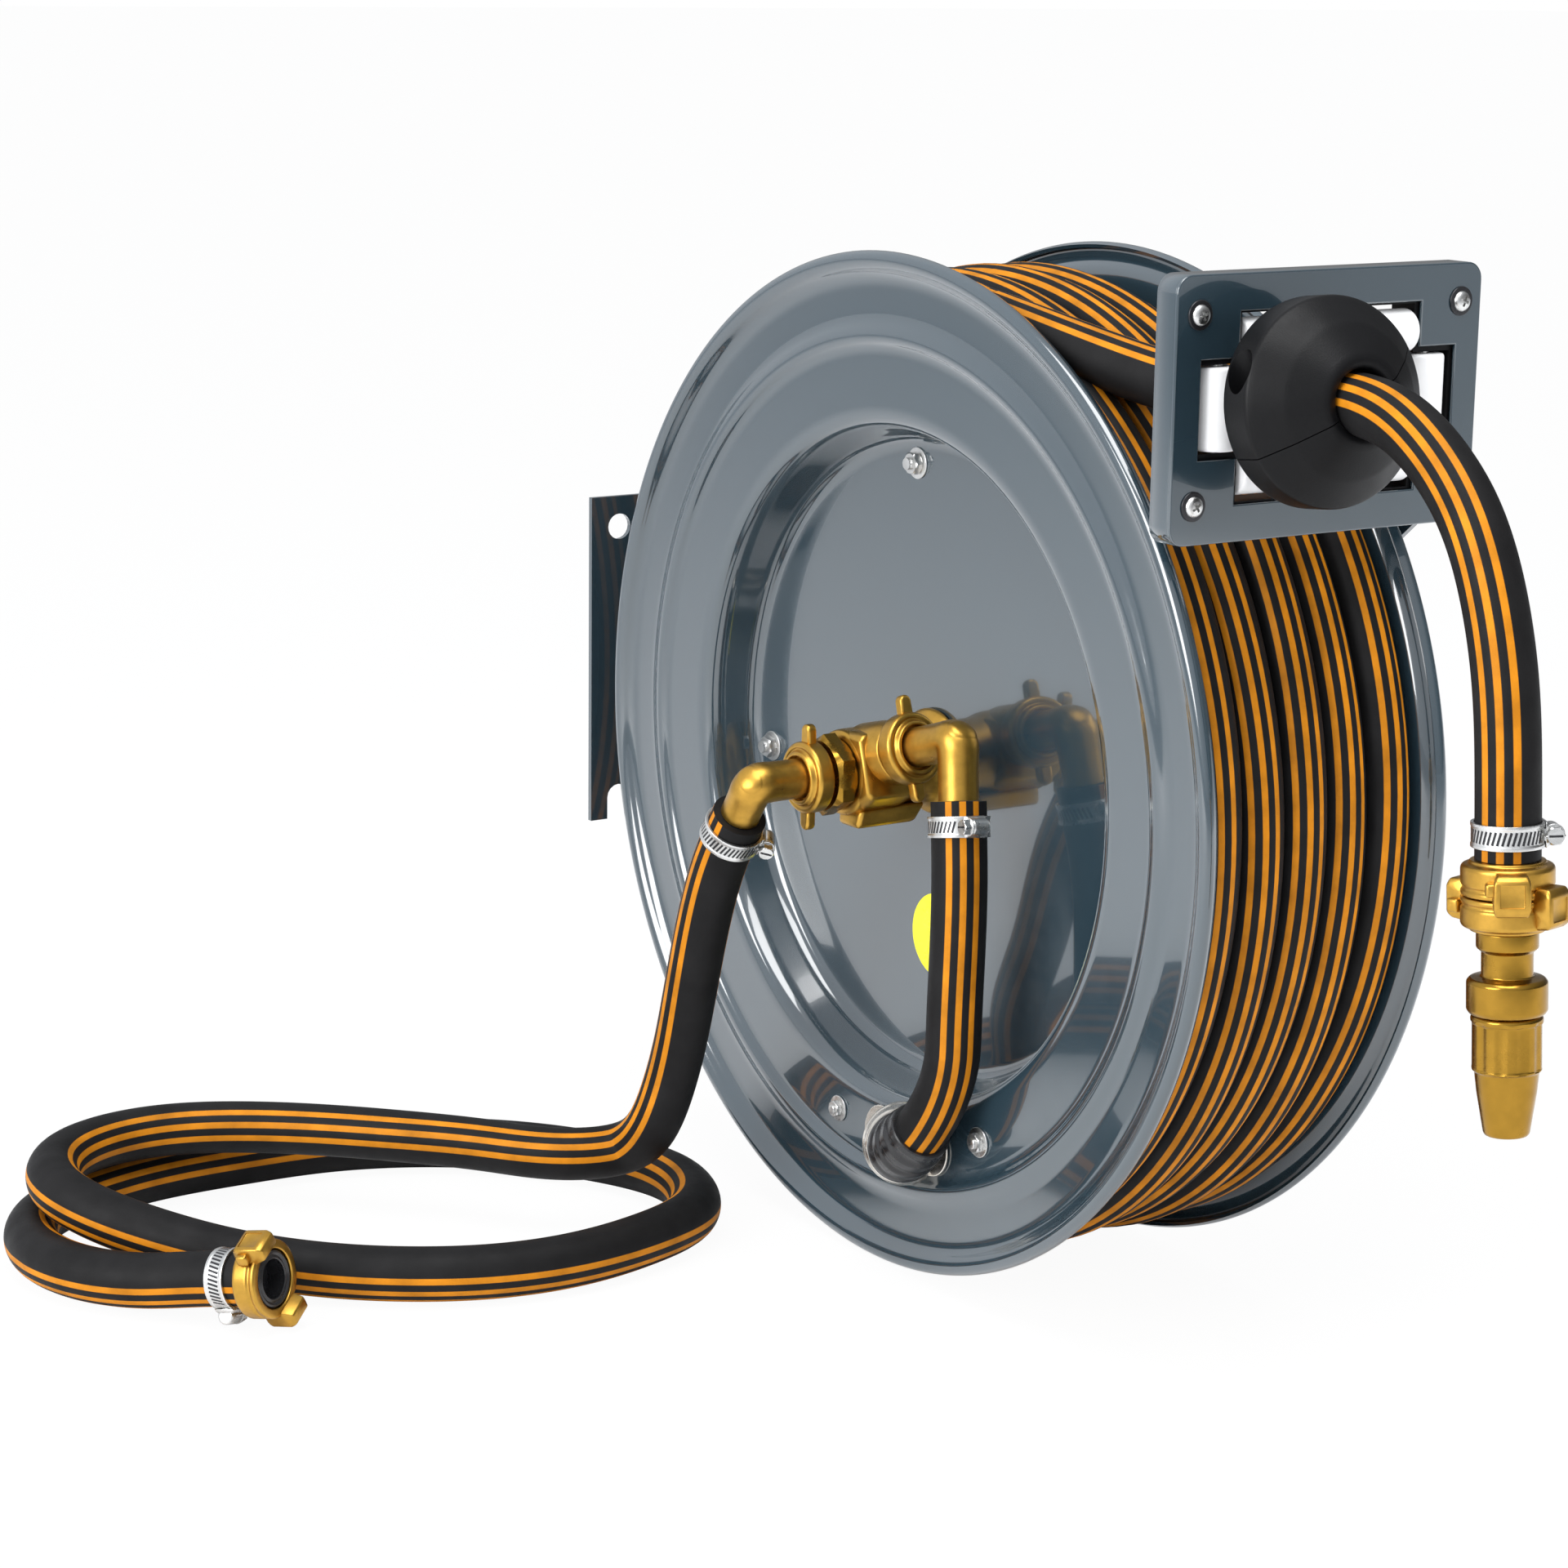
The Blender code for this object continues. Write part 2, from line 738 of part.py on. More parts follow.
def pawl_outline():
    """A round boss on the pin, tapering to a blunt tip."""
    pivot = Vector(PAWL_PIVOT)
    tip = Vector(PAWL_TIP)
    way = (tip - pivot).normalized()
    side = Vector((-way.y, way.x))
    boss = 0.009
    heading = math.atan2(way.y, way.x)
    outline = arc_points(PAWL_PIVOT, boss, 11, heading + math.pi / 2, math.pi)
    return outline + [tip - side * 0.0035, tip + side * 0.0015]


plate(
    "ratchet_wheel",
    [ratchet_outline(), circle_points((0, 0), HUB_BORE, 24)],
    RATCHET_WIDTH,
    reel_point(RATCHET_X, 0, 0),
    AXIS_Y,
    AXIS_Z,
    STEEL,
)
ratchet_pawl = plate(
    "ratchet_pawl",
    [
        [(y - PAWL_PIVOT[0], z - PAWL_PIVOT[1]) for y, z in pawl_outline()],
        circle_points((0, 0), PAWL_PIN_RADIUS + RUNNING_GAP, 16),
    ],
    RATCHET_WIDTH,
    reel_point(RATCHET_X, *PAWL_PIVOT),
    AXIS_Y,
    AXIS_Z,
    STEEL,
)
turned(
    "pawl_pin",
    [
        (0, ARM_X - GAP),
        (0.0075, ARM_X - GAP),
        (0.0075, RATCHET_X + RATCHET_WIDTH / 2 + GAP),
        (PAWL_PIN_RADIUS, RATCHET_X + RATCHET_WIDTH / 2 + GAP),
        (PAWL_PIN_RADIUS, RATCHET_X - RATCHET_WIDTH / 2),
        (0, RATCHET_X - RATCHET_WIDTH / 2),
    ],
    reel_point(0, *PAWL_PIVOT),
    AXIS_X,
    STEEL,
    16,
    closed=False,
)

# ---------------------------------------------------------------------------------------------
# Frame: wall plate with two holes and two open slots, support arm, guide arm and their bolts
# ---------------------------------------------------------------------------------------------

PLATE_RIGHT = SIDE_X + PLATE_THICKNESS


def slot_outline(centre_x):
    """An upright slot with a round top that runs out of the plate's bottom edge."""
    radius = MOUNT_HOLE_RADIUS
    top = arc_points((centre_x, MOUNT_SLOT_TOP - radius), radius, 9, 0, math.pi)
    low = PLATE_BOTTOM - 0.01
    return [(centre_x + radius, low), *top, (centre_x - radius, low)]


wall_plate = plate(
    "wall_plate",
    [
        [
            (PLATE_LEFT, PLATE_BOTTOM),
            (PLATE_RIGHT, PLATE_BOTTOM),
            (PLATE_RIGHT, PLATE_TOP),
            (PLATE_LEFT, PLATE_TOP),
        ],
        circle_points((-MOUNT_HOLE_X, MOUNT_HOLE_Z), MOUNT_HOLE_RADIUS, 20),
        circle_points((MOUNT_HOLE_X, MOUNT_HOLE_Z), MOUNT_HOLE_RADIUS, 20),
    ],
    PLATE_THICKNESS,
    (0, -PLATE_THICKNESS / 2, 0),
    AXIS_X,
    AXIS_Z,
    PAINT,
)
for side in (-1, 1):
    slot = plate(
        f"mount_slot_{side}",
        [slot_outline(side * MOUNT_HOLE_X)],
        PLATE_THICKNESS * 3,
        (0, -PLATE_THICKNESS / 2, 0),
        AXIS_X,
        AXIS_Z,
        collection=CUTTERS,
    )
    cut(wall_plate, slot)
side_flange = block(
    "side_flange",
    (SIDE_X + PLATE_THICKNESS / 2, -SIDE_FLANGE / 2 - 0.001, (PLATE_TOP + PLATE_BOTTOM) / 2),
    (PLATE_THICKNESS, SIDE_FLANGE, PLATE_TOP - PLATE_BOTTOM),
)
fuse(wall_plate, side_flange)

ARM_BOLT_Y = -0.022
ARM_BOLT_Z = (0.045, -0.035)
for index, height in enumerate(ARM_BOLT_Z):
    hole = rod(
        f"side_flange_hole_{index}",
        (SIDE_X - 0.004, ARM_BOLT_Y, height),
        (PLATE_RIGHT + 0.002, ARM_BOLT_Y, height),
        ARM_BOLT_RADIUS + RUNNING_GAP,
        sides=12,
    )
    cut(wall_plate, hole)

GUIDE_REACH = FLANGE_RADIUS + GUIDE_FROM_RIM
GUIDE_Y = -GUIDE_REACH * math.cos(GUIDE_ANGLE)
GUIDE_Z = GUIDE_REACH * math.sin(GUIDE_ANGLE)
BLOCK_FRONT = GUIDE_Y + SHEET + GAP
BLOCK_BACK = BLOCK_FRONT + BLOCK_DEPTH
TAB_FRONT = BLOCK_BACK + GAP
ARM_EYE = 0.042
GUIDE_EYE = 0.030
JOINT_BOLT = 0.082
guide_way = Vector((TAB_FRONT, GUIDE_Z)).normalized()
joint_spot = guide_way * (JOINT_BOLT - 0.045)


def support_arm_outline():
    """A plate that tapers from the wall to an eye round the shaft."""
    eye = arc_points((REEL_Y, 0), ARM_EYE, 13, math.radians(78), math.radians(204))
    return [(-0.001, 0.080), *eye, (-0.001, -0.070)]


def guide_arm_outline():
    """A plate that widens from an eye round the shaft to the height of the guide."""
    heading = math.atan2(guide_way.y, guide_way.x)
    eye = arc_points((REEL_Y, 0), GUIDE_EYE, 11, heading + math.radians(80), math.radians(200))
    high = (REEL_Y + TAB_FRONT, GUIDE_Z + 0.042)
    low = (REEL_Y + TAB_FRONT, GUIDE_Z - 0.052)
    inner = (REEL_Y + TAB_FRONT + 0.060, GUIDE_Z + 0.020)
    return [high, low, *eye, inner]


joint_hole = (REEL_Y + joint_spot.x, joint_spot.y)
plate(
    "support_arm",
    [
        support_arm_outline(),
        circle_points((REEL_Y, 0), SHAFT_BORE, 24),
        circle_points((ARM_BOLT_Y, ARM_BOLT_Z[0]), ARM_BOLT_RADIUS + RUNNING_GAP, 12),
        circle_points((ARM_BOLT_Y, ARM_BOLT_Z[1]), ARM_BOLT_RADIUS + RUNNING_GAP, 12),
        circle_points(joint_hole, ARM_BOLT_RADIUS + RUNNING_GAP, 12),
    ],
    PLATE_THICKNESS,
    (ARM_X + PLATE_THICKNESS / 2, 0, 0),
    AXIS_Y,
    AXIS_Z,
    PAINT,
)
for index, height in enumerate(ARM_BOLT_Z):
    hex_bolt(
        f"arm_bolt_{index + 1}",
        Vector((ARM_X + PLATE_THICKNESS + GAP, ARM_BOLT_Y, height)),
        AXIS_X,
        2 * PLATE_THICKNESS + 0.005,
    )

GUIDE_ARM_X = ARM_X + PLATE_THICKNESS + GAP
TAB_LENGTH = 0.030
TAB_BOLT_X = GUIDE_ARM_X - 0.016
guide_arm = plate(
    "guide_arm",
    [
        guide_arm_outline(),
        circle_points((REEL_Y, 0), SHAFT_BORE, 24),
        circle_points(joint_hole, ARM_BOLT_RADIUS + RUNNING_GAP, 12),
    ],
    PLATE_THICKNESS,
    (GUIDE_ARM_X + PLATE_THICKNESS / 2, 0, 0),
    AXIS_Y,
    AXIS_Z,
    PAINT,
)
guide_tab = block(
    "guide_tab",
    (
        GUIDE_ARM_X + PLATE_THICKNESS - TAB_LENGTH / 2,
        REEL_Y + TAB_FRONT + PLATE_THICKNESS / 2,
        GUIDE_Z - 0.005,
    ),
    (TAB_LENGTH, PLATE_THICKNESS, 0.094),
)
tab_hole = rod(
    "tab_hole",
    (TAB_BOLT_X, REEL_Y + TAB_FRONT - 0.004, GUIDE_Z - 0.030),
    (TAB_BOLT_X, REEL_Y + TAB_FRONT + 0.008, GUIDE_Z - 0.030),
    ARM_BOLT_RADIUS + RUNNING_GAP,
    sides=12,
)
fuse(guide_arm, guide_tab)
cut(guide_arm, tab_hole)
hex_bolt(
    "guide_arm_bolt",
    Vector((GUIDE_ARM_X + PLATE_THICKNESS + GAP, *joint_hole)),
    AXIS_X,
    2 * PLATE_THICKNESS + 0.003,
)
hex_bolt(
    "guide_tab_bolt",
    Vector((TAB_BOLT_X, REEL_Y + TAB_FRONT + PLATE_THICKNESS + GAP, GUIDE_Z - 0.030)),
    AXIS_Y,
    PLATE_THICKNESS + 0.009,
)

# ---------------------------------------------------------------------------------------------
# Hose guide: a pressed plate on a solid block, with four rollers on pins round its window
# ---------------------------------------------------------------------------------------------

ROLLER_Z = HOSE_RADIUS + 0.00525 + ROLLER_RADIUS
ROLLER_X = LONG_ROLLER / 2 + ROLLER_RADIUS + 0.00075
SHORT_ROLLER = 2 * (ROLLER_Z - ROLLER_RADIUS - 0.00075)
GUIDE_HALF_WIDTH = ROLLER_X + ROLLER_RADIUS + 0.01805
GUIDE_HALF_HEIGHT = ROLLER_Z + ROLLER_RADIUS + 0.01945
BLOCK_HALF_WIDTH = GUIDE_HALF_WIDTH - 0.0038
BLOCK_HALF_HEIGHT = GUIDE_HALF_HEIGHT - 0.0037
ROLLER_Y = BLOCK_FRONT + 0.0040
PIN_END = 0.0050
GUIDE_SCREW_X = GUIDE_HALF_WIDTH - 0.0123
GUIDE_SCREW_Z = GUIDE_HALF_HEIGHT - 0.0170


def guide_point(x, y, z):
    """A point given from the middle of the guide, with y from the reel axis."""
    return reel_point(x, y, GUIDE_Z + z)


plate_window = cross_outline(
    ROLLER_X + ROLLER_RADIUS + 0.00375,
    SHORT_ROLLER / 2 + 0.0035,
    LONG_ROLLER / 2 + 0.0030,
    ROLLER_Z + ROLLER_RADIUS + 0.00325,
)
guide_plate = plate(
    "guide_plate",
    [rounded_box(GUIDE_HALF_WIDTH, GUIDE_HALF_HEIGHT, 0.008), plate_window],
    SHEET,
    guide_point(0, GUIDE_Y + SHEET / 2, 0),
    AXIS_X,
    AXIS_Z,
    PAINT,
)
guide_skirt = plate(
    "guide_skirt",
    [
        rounded_box(GUIDE_HALF_WIDTH, GUIDE_HALF_HEIGHT, 0.008),
        rounded_box(GUIDE_HALF_WIDTH - SHEET, GUIDE_HALF_HEIGHT - SHEET, 0.008 - SHEET),
    ],
    GUIDE_EDGE - SHEET / 2,
    guide_point(0, GUIDE_Y + GUIDE_EDGE / 2 + SHEET / 4, 0),
    AXIS_X,
    AXIS_Z,
    collection=CUTTERS,
)
fuse(guide_plate, guide_skirt)

block_window = cross_outline(
    ROLLER_X + ROLLER_RADIUS + 0.00225,
    SHORT_ROLLER / 2 + 0.0010,
    LONG_ROLLER / 2 + 0.0010,
    ROLLER_Z + ROLLER_RADIUS + 0.00225,
)
guide_frame = plate(
    "guide_frame",
    [rounded_box(BLOCK_HALF_WIDTH, BLOCK_HALF_HEIGHT, 0.004, 3), block_window],
    BLOCK_DEPTH,
    guide_point(0, (BLOCK_FRONT + BLOCK_BACK) / 2, 0),
    AXIS_X,
    AXIS_Z,
    BLACK,
)
cut(
    guide_frame,
    rod(
        "tab_bolt_bore",
        (TAB_BOLT_X, REEL_Y + BLOCK_BACK + 0.002, GUIDE_Z - 0.030),
        (TAB_BOLT_X, REEL_Y + BLOCK_BACK - 0.0105, GUIDE_Z - 0.030),
        ARM_BOLT_RADIUS + RUNNING_GAP,
        sides=12,
    ),
)

ROLLERS = {
    "roller_top": ((0, ROLLER_Z), AXIS_X, LONG_ROLLER / 2),
    "roller_bottom": ((0, -ROLLER_Z), AXIS_X, LONG_ROLLER / 2),
    "roller_left": ((-ROLLER_X, 0), AXIS_Z, SHORT_ROLLER / 2),
    "roller_right": ((ROLLER_X, 0), AXIS_Z, SHORT_ROLLER / 2),
}
for name, ((x, z), way, half) in ROLLERS.items():
    middle = guide_point(x, ROLLER_Y, z)
    bore = (ROLLER_PIN_RADIUS + RUNNING_GAP) / math.cos(math.pi / 20)
    turned(name, ring_profile(bore, ROLLER_RADIUS, -half, half), middle, way, WHITE, 20)
    pin_half = half + 0.0010 + PIN_END
    pin = rod(
        f"{name}_pin",
        middle - way * pin_half,
        middle + way * pin_half,
        ROLLER_PIN_RADIUS,
        STEEL,
        PARTS,
        sides=10,
    )
    pin_bore = rod(
        f"{name}_pin_bore",
        middle - way * (pin_half + GAP),
        middle + way * (pin_half + GAP),
        (ROLLER_PIN_RADIUS + GAP) / math.cos(math.pi / 10),
        sides=10,
    )
    cut(guide_frame, pin_bore)

for index, (side_x, side_z) in enumerate(((-1, 1), (1, 1), (-1, -1), (1, -1))):
    spot = guide_point(side_x * GUIDE_SCREW_X, GUIDE_Y - GAP, side_z * GUIDE_SCREW_Z)
    dome_screw(f"guide_screw_{index + 1}", spot, -AXIS_Y, 0.0043, 0.0026, 0.0019, 0.0090)
    screw_bore = rod(
        f"guide_screw_bore_{index + 1}",
        spot - AXIS_Y * 0.002,
        spot + AXIS_Y * 0.0100,
        0.0019 + RUNNING_GAP,
        sides=12,
    )
    cut(guide_plate, screw_bore)
    cut(guide_frame, screw_bore)

# ---------------------------------------------------------------------------------------------
# Hose on the drum: plain inner layers, and the outer layer as one tube from rear to front
# ---------------------------------------------------------------------------------------------

WINDING_RADIUS = FLANGE_RADIUS - RIM_COVER - HOSE_RADIUS
winding_room = 2 * (HALF_SPREAD - 0.00325 - SHEET - GAP - HOSE_RADIUS)
TURNS = math.floor(2 * winding_room / (2 * HOSE_RADIUS + WINDING_GAP) + 0.01) / 2
WINDING_PITCH = winding_room / TURNS
WINDING_HALF = winding_room / 2
DIAMETER = 2 * HOSE_RADIUS
lead_way = Vector((0, -math.sin(LEAD_ANGLE), -math.cos(LEAD_ANGLE)))


def winding_points():
    """One loop after another towards the front flange, with a straight piece at both ends."""
    steps = round(TURNS * TURN_POINTS)
    loops = []
    for i in range(steps + 1):
        angle = LEAD_ANGLE + (steps - i) * 2 * math.pi / TURN_POINTS
        x = WINDING_HALF - i * WINDING_PITCH / TURN_POINTS
        loops.append(spot_on_drum(WINDING_RADIUS, angle, x))
    first = LEAD_ANGLE + TURNS * 2 * math.pi
    first_way = Vector((0, -math.sin(first), -math.cos(first)))
    return [loops[0] - first_way * DIAMETER, *loops, loops[-1] + lead_way * DIAMETER]


def least_self_gap(points, radius):
    """The least air between parts of a tube that lie more than three diameters apart along it."""
    fine = smooth_line(points, 0.003)
    along = np.arange(len(fine)) * 0.003
    least = 1.0
    for i in range(0, len(fine), 4):
        far = np.abs(along - along[i]) > 6 * radius
        if far.any():
            least = min(least, np.linalg.norm(fine[far] - fine[i], axis=1).min())
    return least - 2 * radius


def smooth_line(points, step):
    """Points every step along a line of straight pieces."""
    points = np.array([tuple(p) for p in points])
    along = np.concatenate([[0], np.cumsum(np.linalg.norm(np.diff(points, axis=0), axis=1))])
    stops = np.arange(0, along[-1], step)
    return np.stack([np.interp(stops, along, points[:, k]) for k in range(3)], axis=1)


winding = winding_points()
tube("hose_winding", winding, HOSE_RADIUS, RUBBER, 1)
print("hose_winding turns", TURNS, "least gap to itself, mm", 1000 * least_self_gap(winding, HOSE_RADIUS))

LAYER_OUTER = WINDING_RADIUS * math.cos(math.pi / TURN_POINTS) - HOSE_RADIUS - GAP
LAYER_INNER = BOWL_RADIUS + 0.0030
hose_inner_layers = turned(
    "hose_inner_layers",
    [
        (LAYER_OUTER, BAND_INNER - 0.0017),
        (LAYER_OUTER, -BAND_INNER + 0.0017),
        (LAYER_INNER + 0.0060, -BAND_INNER + 0.0017),
        (LAYER_INNER, -BAND_INNER + 0.0050),
        (LAYER_INNER, BAND_INNER - 0.0050),
        (LAYER_INNER + 0.0060, BAND_INNER - 0.0017),
    ],
    reel_point(0, 0, 0),
    AXIS_X,
    RUBBER,
    32,
)

# ---------------------------------------------------------------------------------------------
# Ball-shaped hose stop, clamped round the hose as two halves, and the hose that runs up to it
# ---------------------------------------------------------------------------------------------

stop_way = Vector(
    (
        -math.sin(STOP_YAW) * math.cos(STOP_PITCH),
        -math.cos(STOP_YAW) * math.cos(STOP_PITCH),
        math.sin(STOP_PITCH),
    )
)
STOP_X = -0.034
STOP_RISE = 0.0053
cone_radial = STOP_LENGTH / 2 - STOP_BAND / 2
cone_axial = STOP_RADIUS - STOP_NOSE
cone_scale = math.hypot(cone_radial, cone_axial)
cone_radial /= cone_scale
cone_axial /= cone_scale
roller_drop = ROLLER_Z - STOP_RISE
sin_pitch = math.sin(STOP_PITCH)
cos_pitch = math.cos(STOP_PITCH)
# How far the ball's middle stands off the rollers' axes when its rear cone rests on the top one
stop_stand_off = (
    ROLLER_RADIUS
    + 0.0009
    + (STOP_RADIUS - cos_pitch * roller_drop) * cone_radial
    + (STOP_BAND / 2 + sin_pitch * roller_drop) * cone_axial
) / (sin_pitch * cone_radial + cos_pitch * cone_axial)
STOP = guide_point(STOP_X, ROLLER_Y - stop_stand_off, STOP_RISE)
STOP_BORE = (HOSE_RADIUS + GAP) / math.cos(math.pi / 24)
SEAM_GAP = GAP / 2
seam_way = (AXIS_X * math.cos(STOP_SEAM) + AXIS_Z * math.sin(STOP_SEAM)).normalized()
seam_up = stop_way.cross(seam_way).normalized()


def stop_half(name, side):
    """Half of the ball: a band between two cones, bored for the hose and split along its axis."""
    half_band = STOP_BAND / 2
    half_length = STOP_LENGTH / 2
    ball = turned(
        name,
        [
            (STOP_BORE + 0.0034, half_length),
            (STOP_NOSE, half_length - 0.0010),
            (STOP_RADIUS - 0.0012, half_band + 0.0004),
            (STOP_RADIUS, half_band - 0.0008),
            (STOP_RADIUS, -half_band + 0.0008),
            (STOP_RADIUS - 0.0012, -half_band - 0.0004),
            (STOP_NOSE, -half_length + 0.0010),
            (STOP_BORE + 0.0010, -half_length),
            (STOP_BORE, -half_length + 0.0020),
            (STOP_BORE, half_length * 0.25),
        ],
        STOP,
        stop_way,
        BLACK,
    )
    depth = 0.08
    other_side = STOP - seam_up * side * (depth / 2 - SEAM_GAP)
    return cut(ball, block(f"{name}_cutter", other_side, (0.12, depth, 0.12), way=stop_way, up=seam_way))


stop_upper = stop_half("hose_stop_upper", 1)
stop_lower = stop_half("hose_stop_lower", -1)
for side in (-1, 1):
    spot = STOP + seam_way * side * 0.029
    screw_well = rod(f"stop_screw_well_{side}", spot + seam_up * 0.018, spot + seam_up * 0.050, 0.0055)
    cut(stop_upper, screw_well)

lead_start = winding[-1] + lead_way * GAP
lead_end = STOP - stop_way * GAP
lead_bend = bend_between(
    lead_start + lead_way * DIAMETER,
    lead_way,
    lead_end - stop_way * 0.0320,
    stop_way,
    (0.050, 0.050),
    7,
)
tube("hose_lead", [lead_start, *lead_bend, lead_end], HOSE_RADIUS, RUBBER, 2)

# ---------------------------------------------------------------------------------------------
# Free end of the hose: it curves down out of the ball to its clamp, coupling and spray nozzle
# ---------------------------------------------------------------------------------------------

OUTLET_SHAPE = [
    (-0.0040, -0.0475, -0.0008),
    (-0.0070, -0.0744, -0.0118),
    (-0.0100, -0.1014, -0.0338),
    (-0.0125, -0.1204, -0.0648),
    (-0.0135, -0.1309, -0.0998),
    (-0.0140, -0.1354, -0.1335),
    (-0.0140, -0.1378, -0.1667),
]
outlet_route = [
    STOP + stop_way * GAP,
    STOP + stop_way * 0.0120,
    *[STOP + Vector(spot) for spot in OUTLET_SHAPE],
]
outlet_points = straight_out(smooth_route(outlet_route, 0.030), stop_way)
tube("outlet_hose", outlet_points, HOSE_RADIUS, RUBBER, 2)
outlet_way = (outlet_points[-1] - outlet_points[-2]).normalized()
CLAMP_TURN = AXIS_X * 0.83 - AXIS_Y * 0.55
hose_clamp("nozzle_clamp", outlet_points[-1] - outlet_way * 0.0100, outlet_way, CLAMP_TURN)
coupling_start = outlet_points[-1] + outlet_way * GAP
claw_half("hose_coupling", coupling_start, outlet_way, Vector((-0.638, -0.770, 0)), BRASS)
mate_end = coupling_start + outlet_way * (2 * COUPLING_LENGTH + GAP)
claw_half("nozzle_coupling", mate_end, -outlet_way, Vector((0.214, -0.977, 0)), BRASS)

nozzle_start = mate_end + outlet_way * GAP
STEM_RADIUS = 0.0080
turned(
    "nozzle_body",
    [
        (0, 0.0690),
        (STEM_RADIUS, 0.0690),
        (STEM_RADIUS, 0.0340),
        (0.0150, 0.0340),
        (0.0163, 0.0325),
        (0.0163, 0.0205),
        (0.0150, 0.0190),
        (0.0104, 0.0190),
        (0.0104, 0.0080),
        (0.0125, 0.0080),
        (0.0125, 0),
        (0, 0),
    ],
    nozzle_start,
    outlet_way,
    BRASS,
    20,
    closed=False,
)
SLEEVE_BORE = (STEM_RADIUS + RUNNING_GAP) / math.cos(math.pi / 20)
turned(
    "nozzle_sleeve",
    [
        (0.0075, 0.0500),
        (0.0093, 0.0490),
        (0.0120, 0.0320),
        (0.0130, 0.0235),
        (0.0140, 0.0230),
        (0.0145, 0.0010),
        (0.0135, 0),
        (SLEEVE_BORE, 0),
        (SLEEVE_BORE, 0.0360),
        (0.0055, 0.0370),
        (0.0055, 0.0500),
    ],
    nozzle_start + outlet_way * (0.0340 + GAP),
    outlet_way,
    BRASS,
    20,
)

# ---------------------------------------------------------------------------------------------
# Swivel on the front of the hub: body with its outlet, fixed nipple, and the inlet elbow
# ---------------------------------------------------------------------------------------------

BODY_BACK = HUB_FACE + GAP
OUTLET_PORT = reel_point(-(BODY_FRONT - 0.0165), 0, 0.0060)
outlet_port_way = Vector((0.111, -0.948, 0.296)).normalized()
swivel_body = turned(
    "swivel_body",
    [
        (0.0185, BODY_FRONT - 0.0200),
        (0.0185, BODY_BACK + 0.0085),
        (0.0225, BODY_BACK + 0.0050),
        (0.0360, BODY_BACK + 0.0050),
        (0.0360, BODY_BACK),
        (0.0130, BODY_BACK),
        (0.0130, BODY_FRONT - 0.0200),
    ],
    reel_point(0, 0, 0),
    -AXIS_X,
    BRASS,
)
body_barrel = rod(
    "body_barrel",
    reel_point(-(BODY_FRONT - 0.0300), 0, 0),
    reel_point(-BODY_FRONT, 0, 0),
    BODY_RADIUS,
    sides=8,
    up=AXIS_Z,
)
port_boss = rod(
    "port_boss",
    OUTLET_PORT + outlet_port_way * 0.005,
    OUTLET_PORT + outlet_port_way * 0.0260,
    0.0160,
    sides=8,
)
port_thread = rod(
    "port_thread",
    OUTLET_PORT + outlet_port_way * 0.015,
    OUTLET_PORT + outlet_port_way * 0.0350,
    THREAD_RADIUS,
    sides=24,
)
body_bore = rod(
    "body_bore",
    reel_point(-(BODY_FRONT + 0.003), 0, 0),
    reel_point(-(BODY_BACK - 0.003), 0, 0),
    SHAFT_BORE,
    sides=24,
)
fuse(swivel_body, body_barrel, port_boss, port_thread)
cut(swivel_body, body_bore)

nipple_front = -(BODY_FRONT + GAP)
swivel_nipple = rod(
    "swivel_nipple",
    reel_point(nipple_front, 0, 0),
    reel_point(nipple_front - HEX_LENGTH, 0, 0),
    HEX_RADIUS,
    BRASS,
    PARTS,
    sides=6,
    up=AXIS_Z,
)
THREAD_END = nipple_front - HEX_LENGTH - THREAD_LENGTH
nipple_thread = rod(
    "nipple_thread",
    reel_point(nipple_front - 0.004, 0, 0),
    reel_point(THREAD_END, 0, 0),
    THREAD_RADIUS,
    sides=24,
)
nipple_bore = rod(
    "nipple_bore",
    reel_point(nipple_front + 0.003, 0, 0),
    reel_point(SHAFT_FRONT - GAP, 0, 0),
    SHAFT_BORE,
    sides=24,
)
fuse(swivel_nipple, nipple_thread)
cut(swivel_nipple, nipple_bore)

NUT_COVER = 0.0068
inlet_nut_start = THREAD_END - GAP + NUT_COVER
INLET_CORNER = reel_point(THREAD_END - 0.0292, 0, 0)
inlet_leg = Vector((0, 0.56, -0.83)).normalized()
wing_nut("inlet_wing_nut", reel_point(inlet_nut_start, 0, 0), -AXIS_X, AXIS_Z, NUT_COVER)
elbow("inlet_elbow", reel_point(THREAD_END - GAP, 0, 0), INLET_CORNER, INLET_CORNER + inlet_leg * 0.0210)

outlet_thread_end = OUTLET_PORT + outlet_port_way * 0.0350
outlet_nut_start = outlet_thread_end + outlet_port_way * (GAP - NUT_COVER)
OUTLET_CORNER = OUTLET_PORT + outlet_port_way * 0.0675
outlet_leg = Vector((-0.10, -0.20, -0.97)).normalized()
outlet_ear = outlet_port_way.cross(AXIS_X).normalized()
wing_nut("outlet_wing_nut", outlet_nut_start, outlet_port_way, outlet_ear, NUT_COVER)
elbow(
    "outlet_elbow",
    outlet_thread_end + outlet_port_way * GAP,
    OUTLET_CORNER,
    OUTLET_CORNER + outlet_leg * 0.0290,
)

# ---------------------------------------------------------------------------------------------
# Connecting hose from the outlet elbow down to the grommet, where it enters the drum
# ---------------------------------------------------------------------------------------------

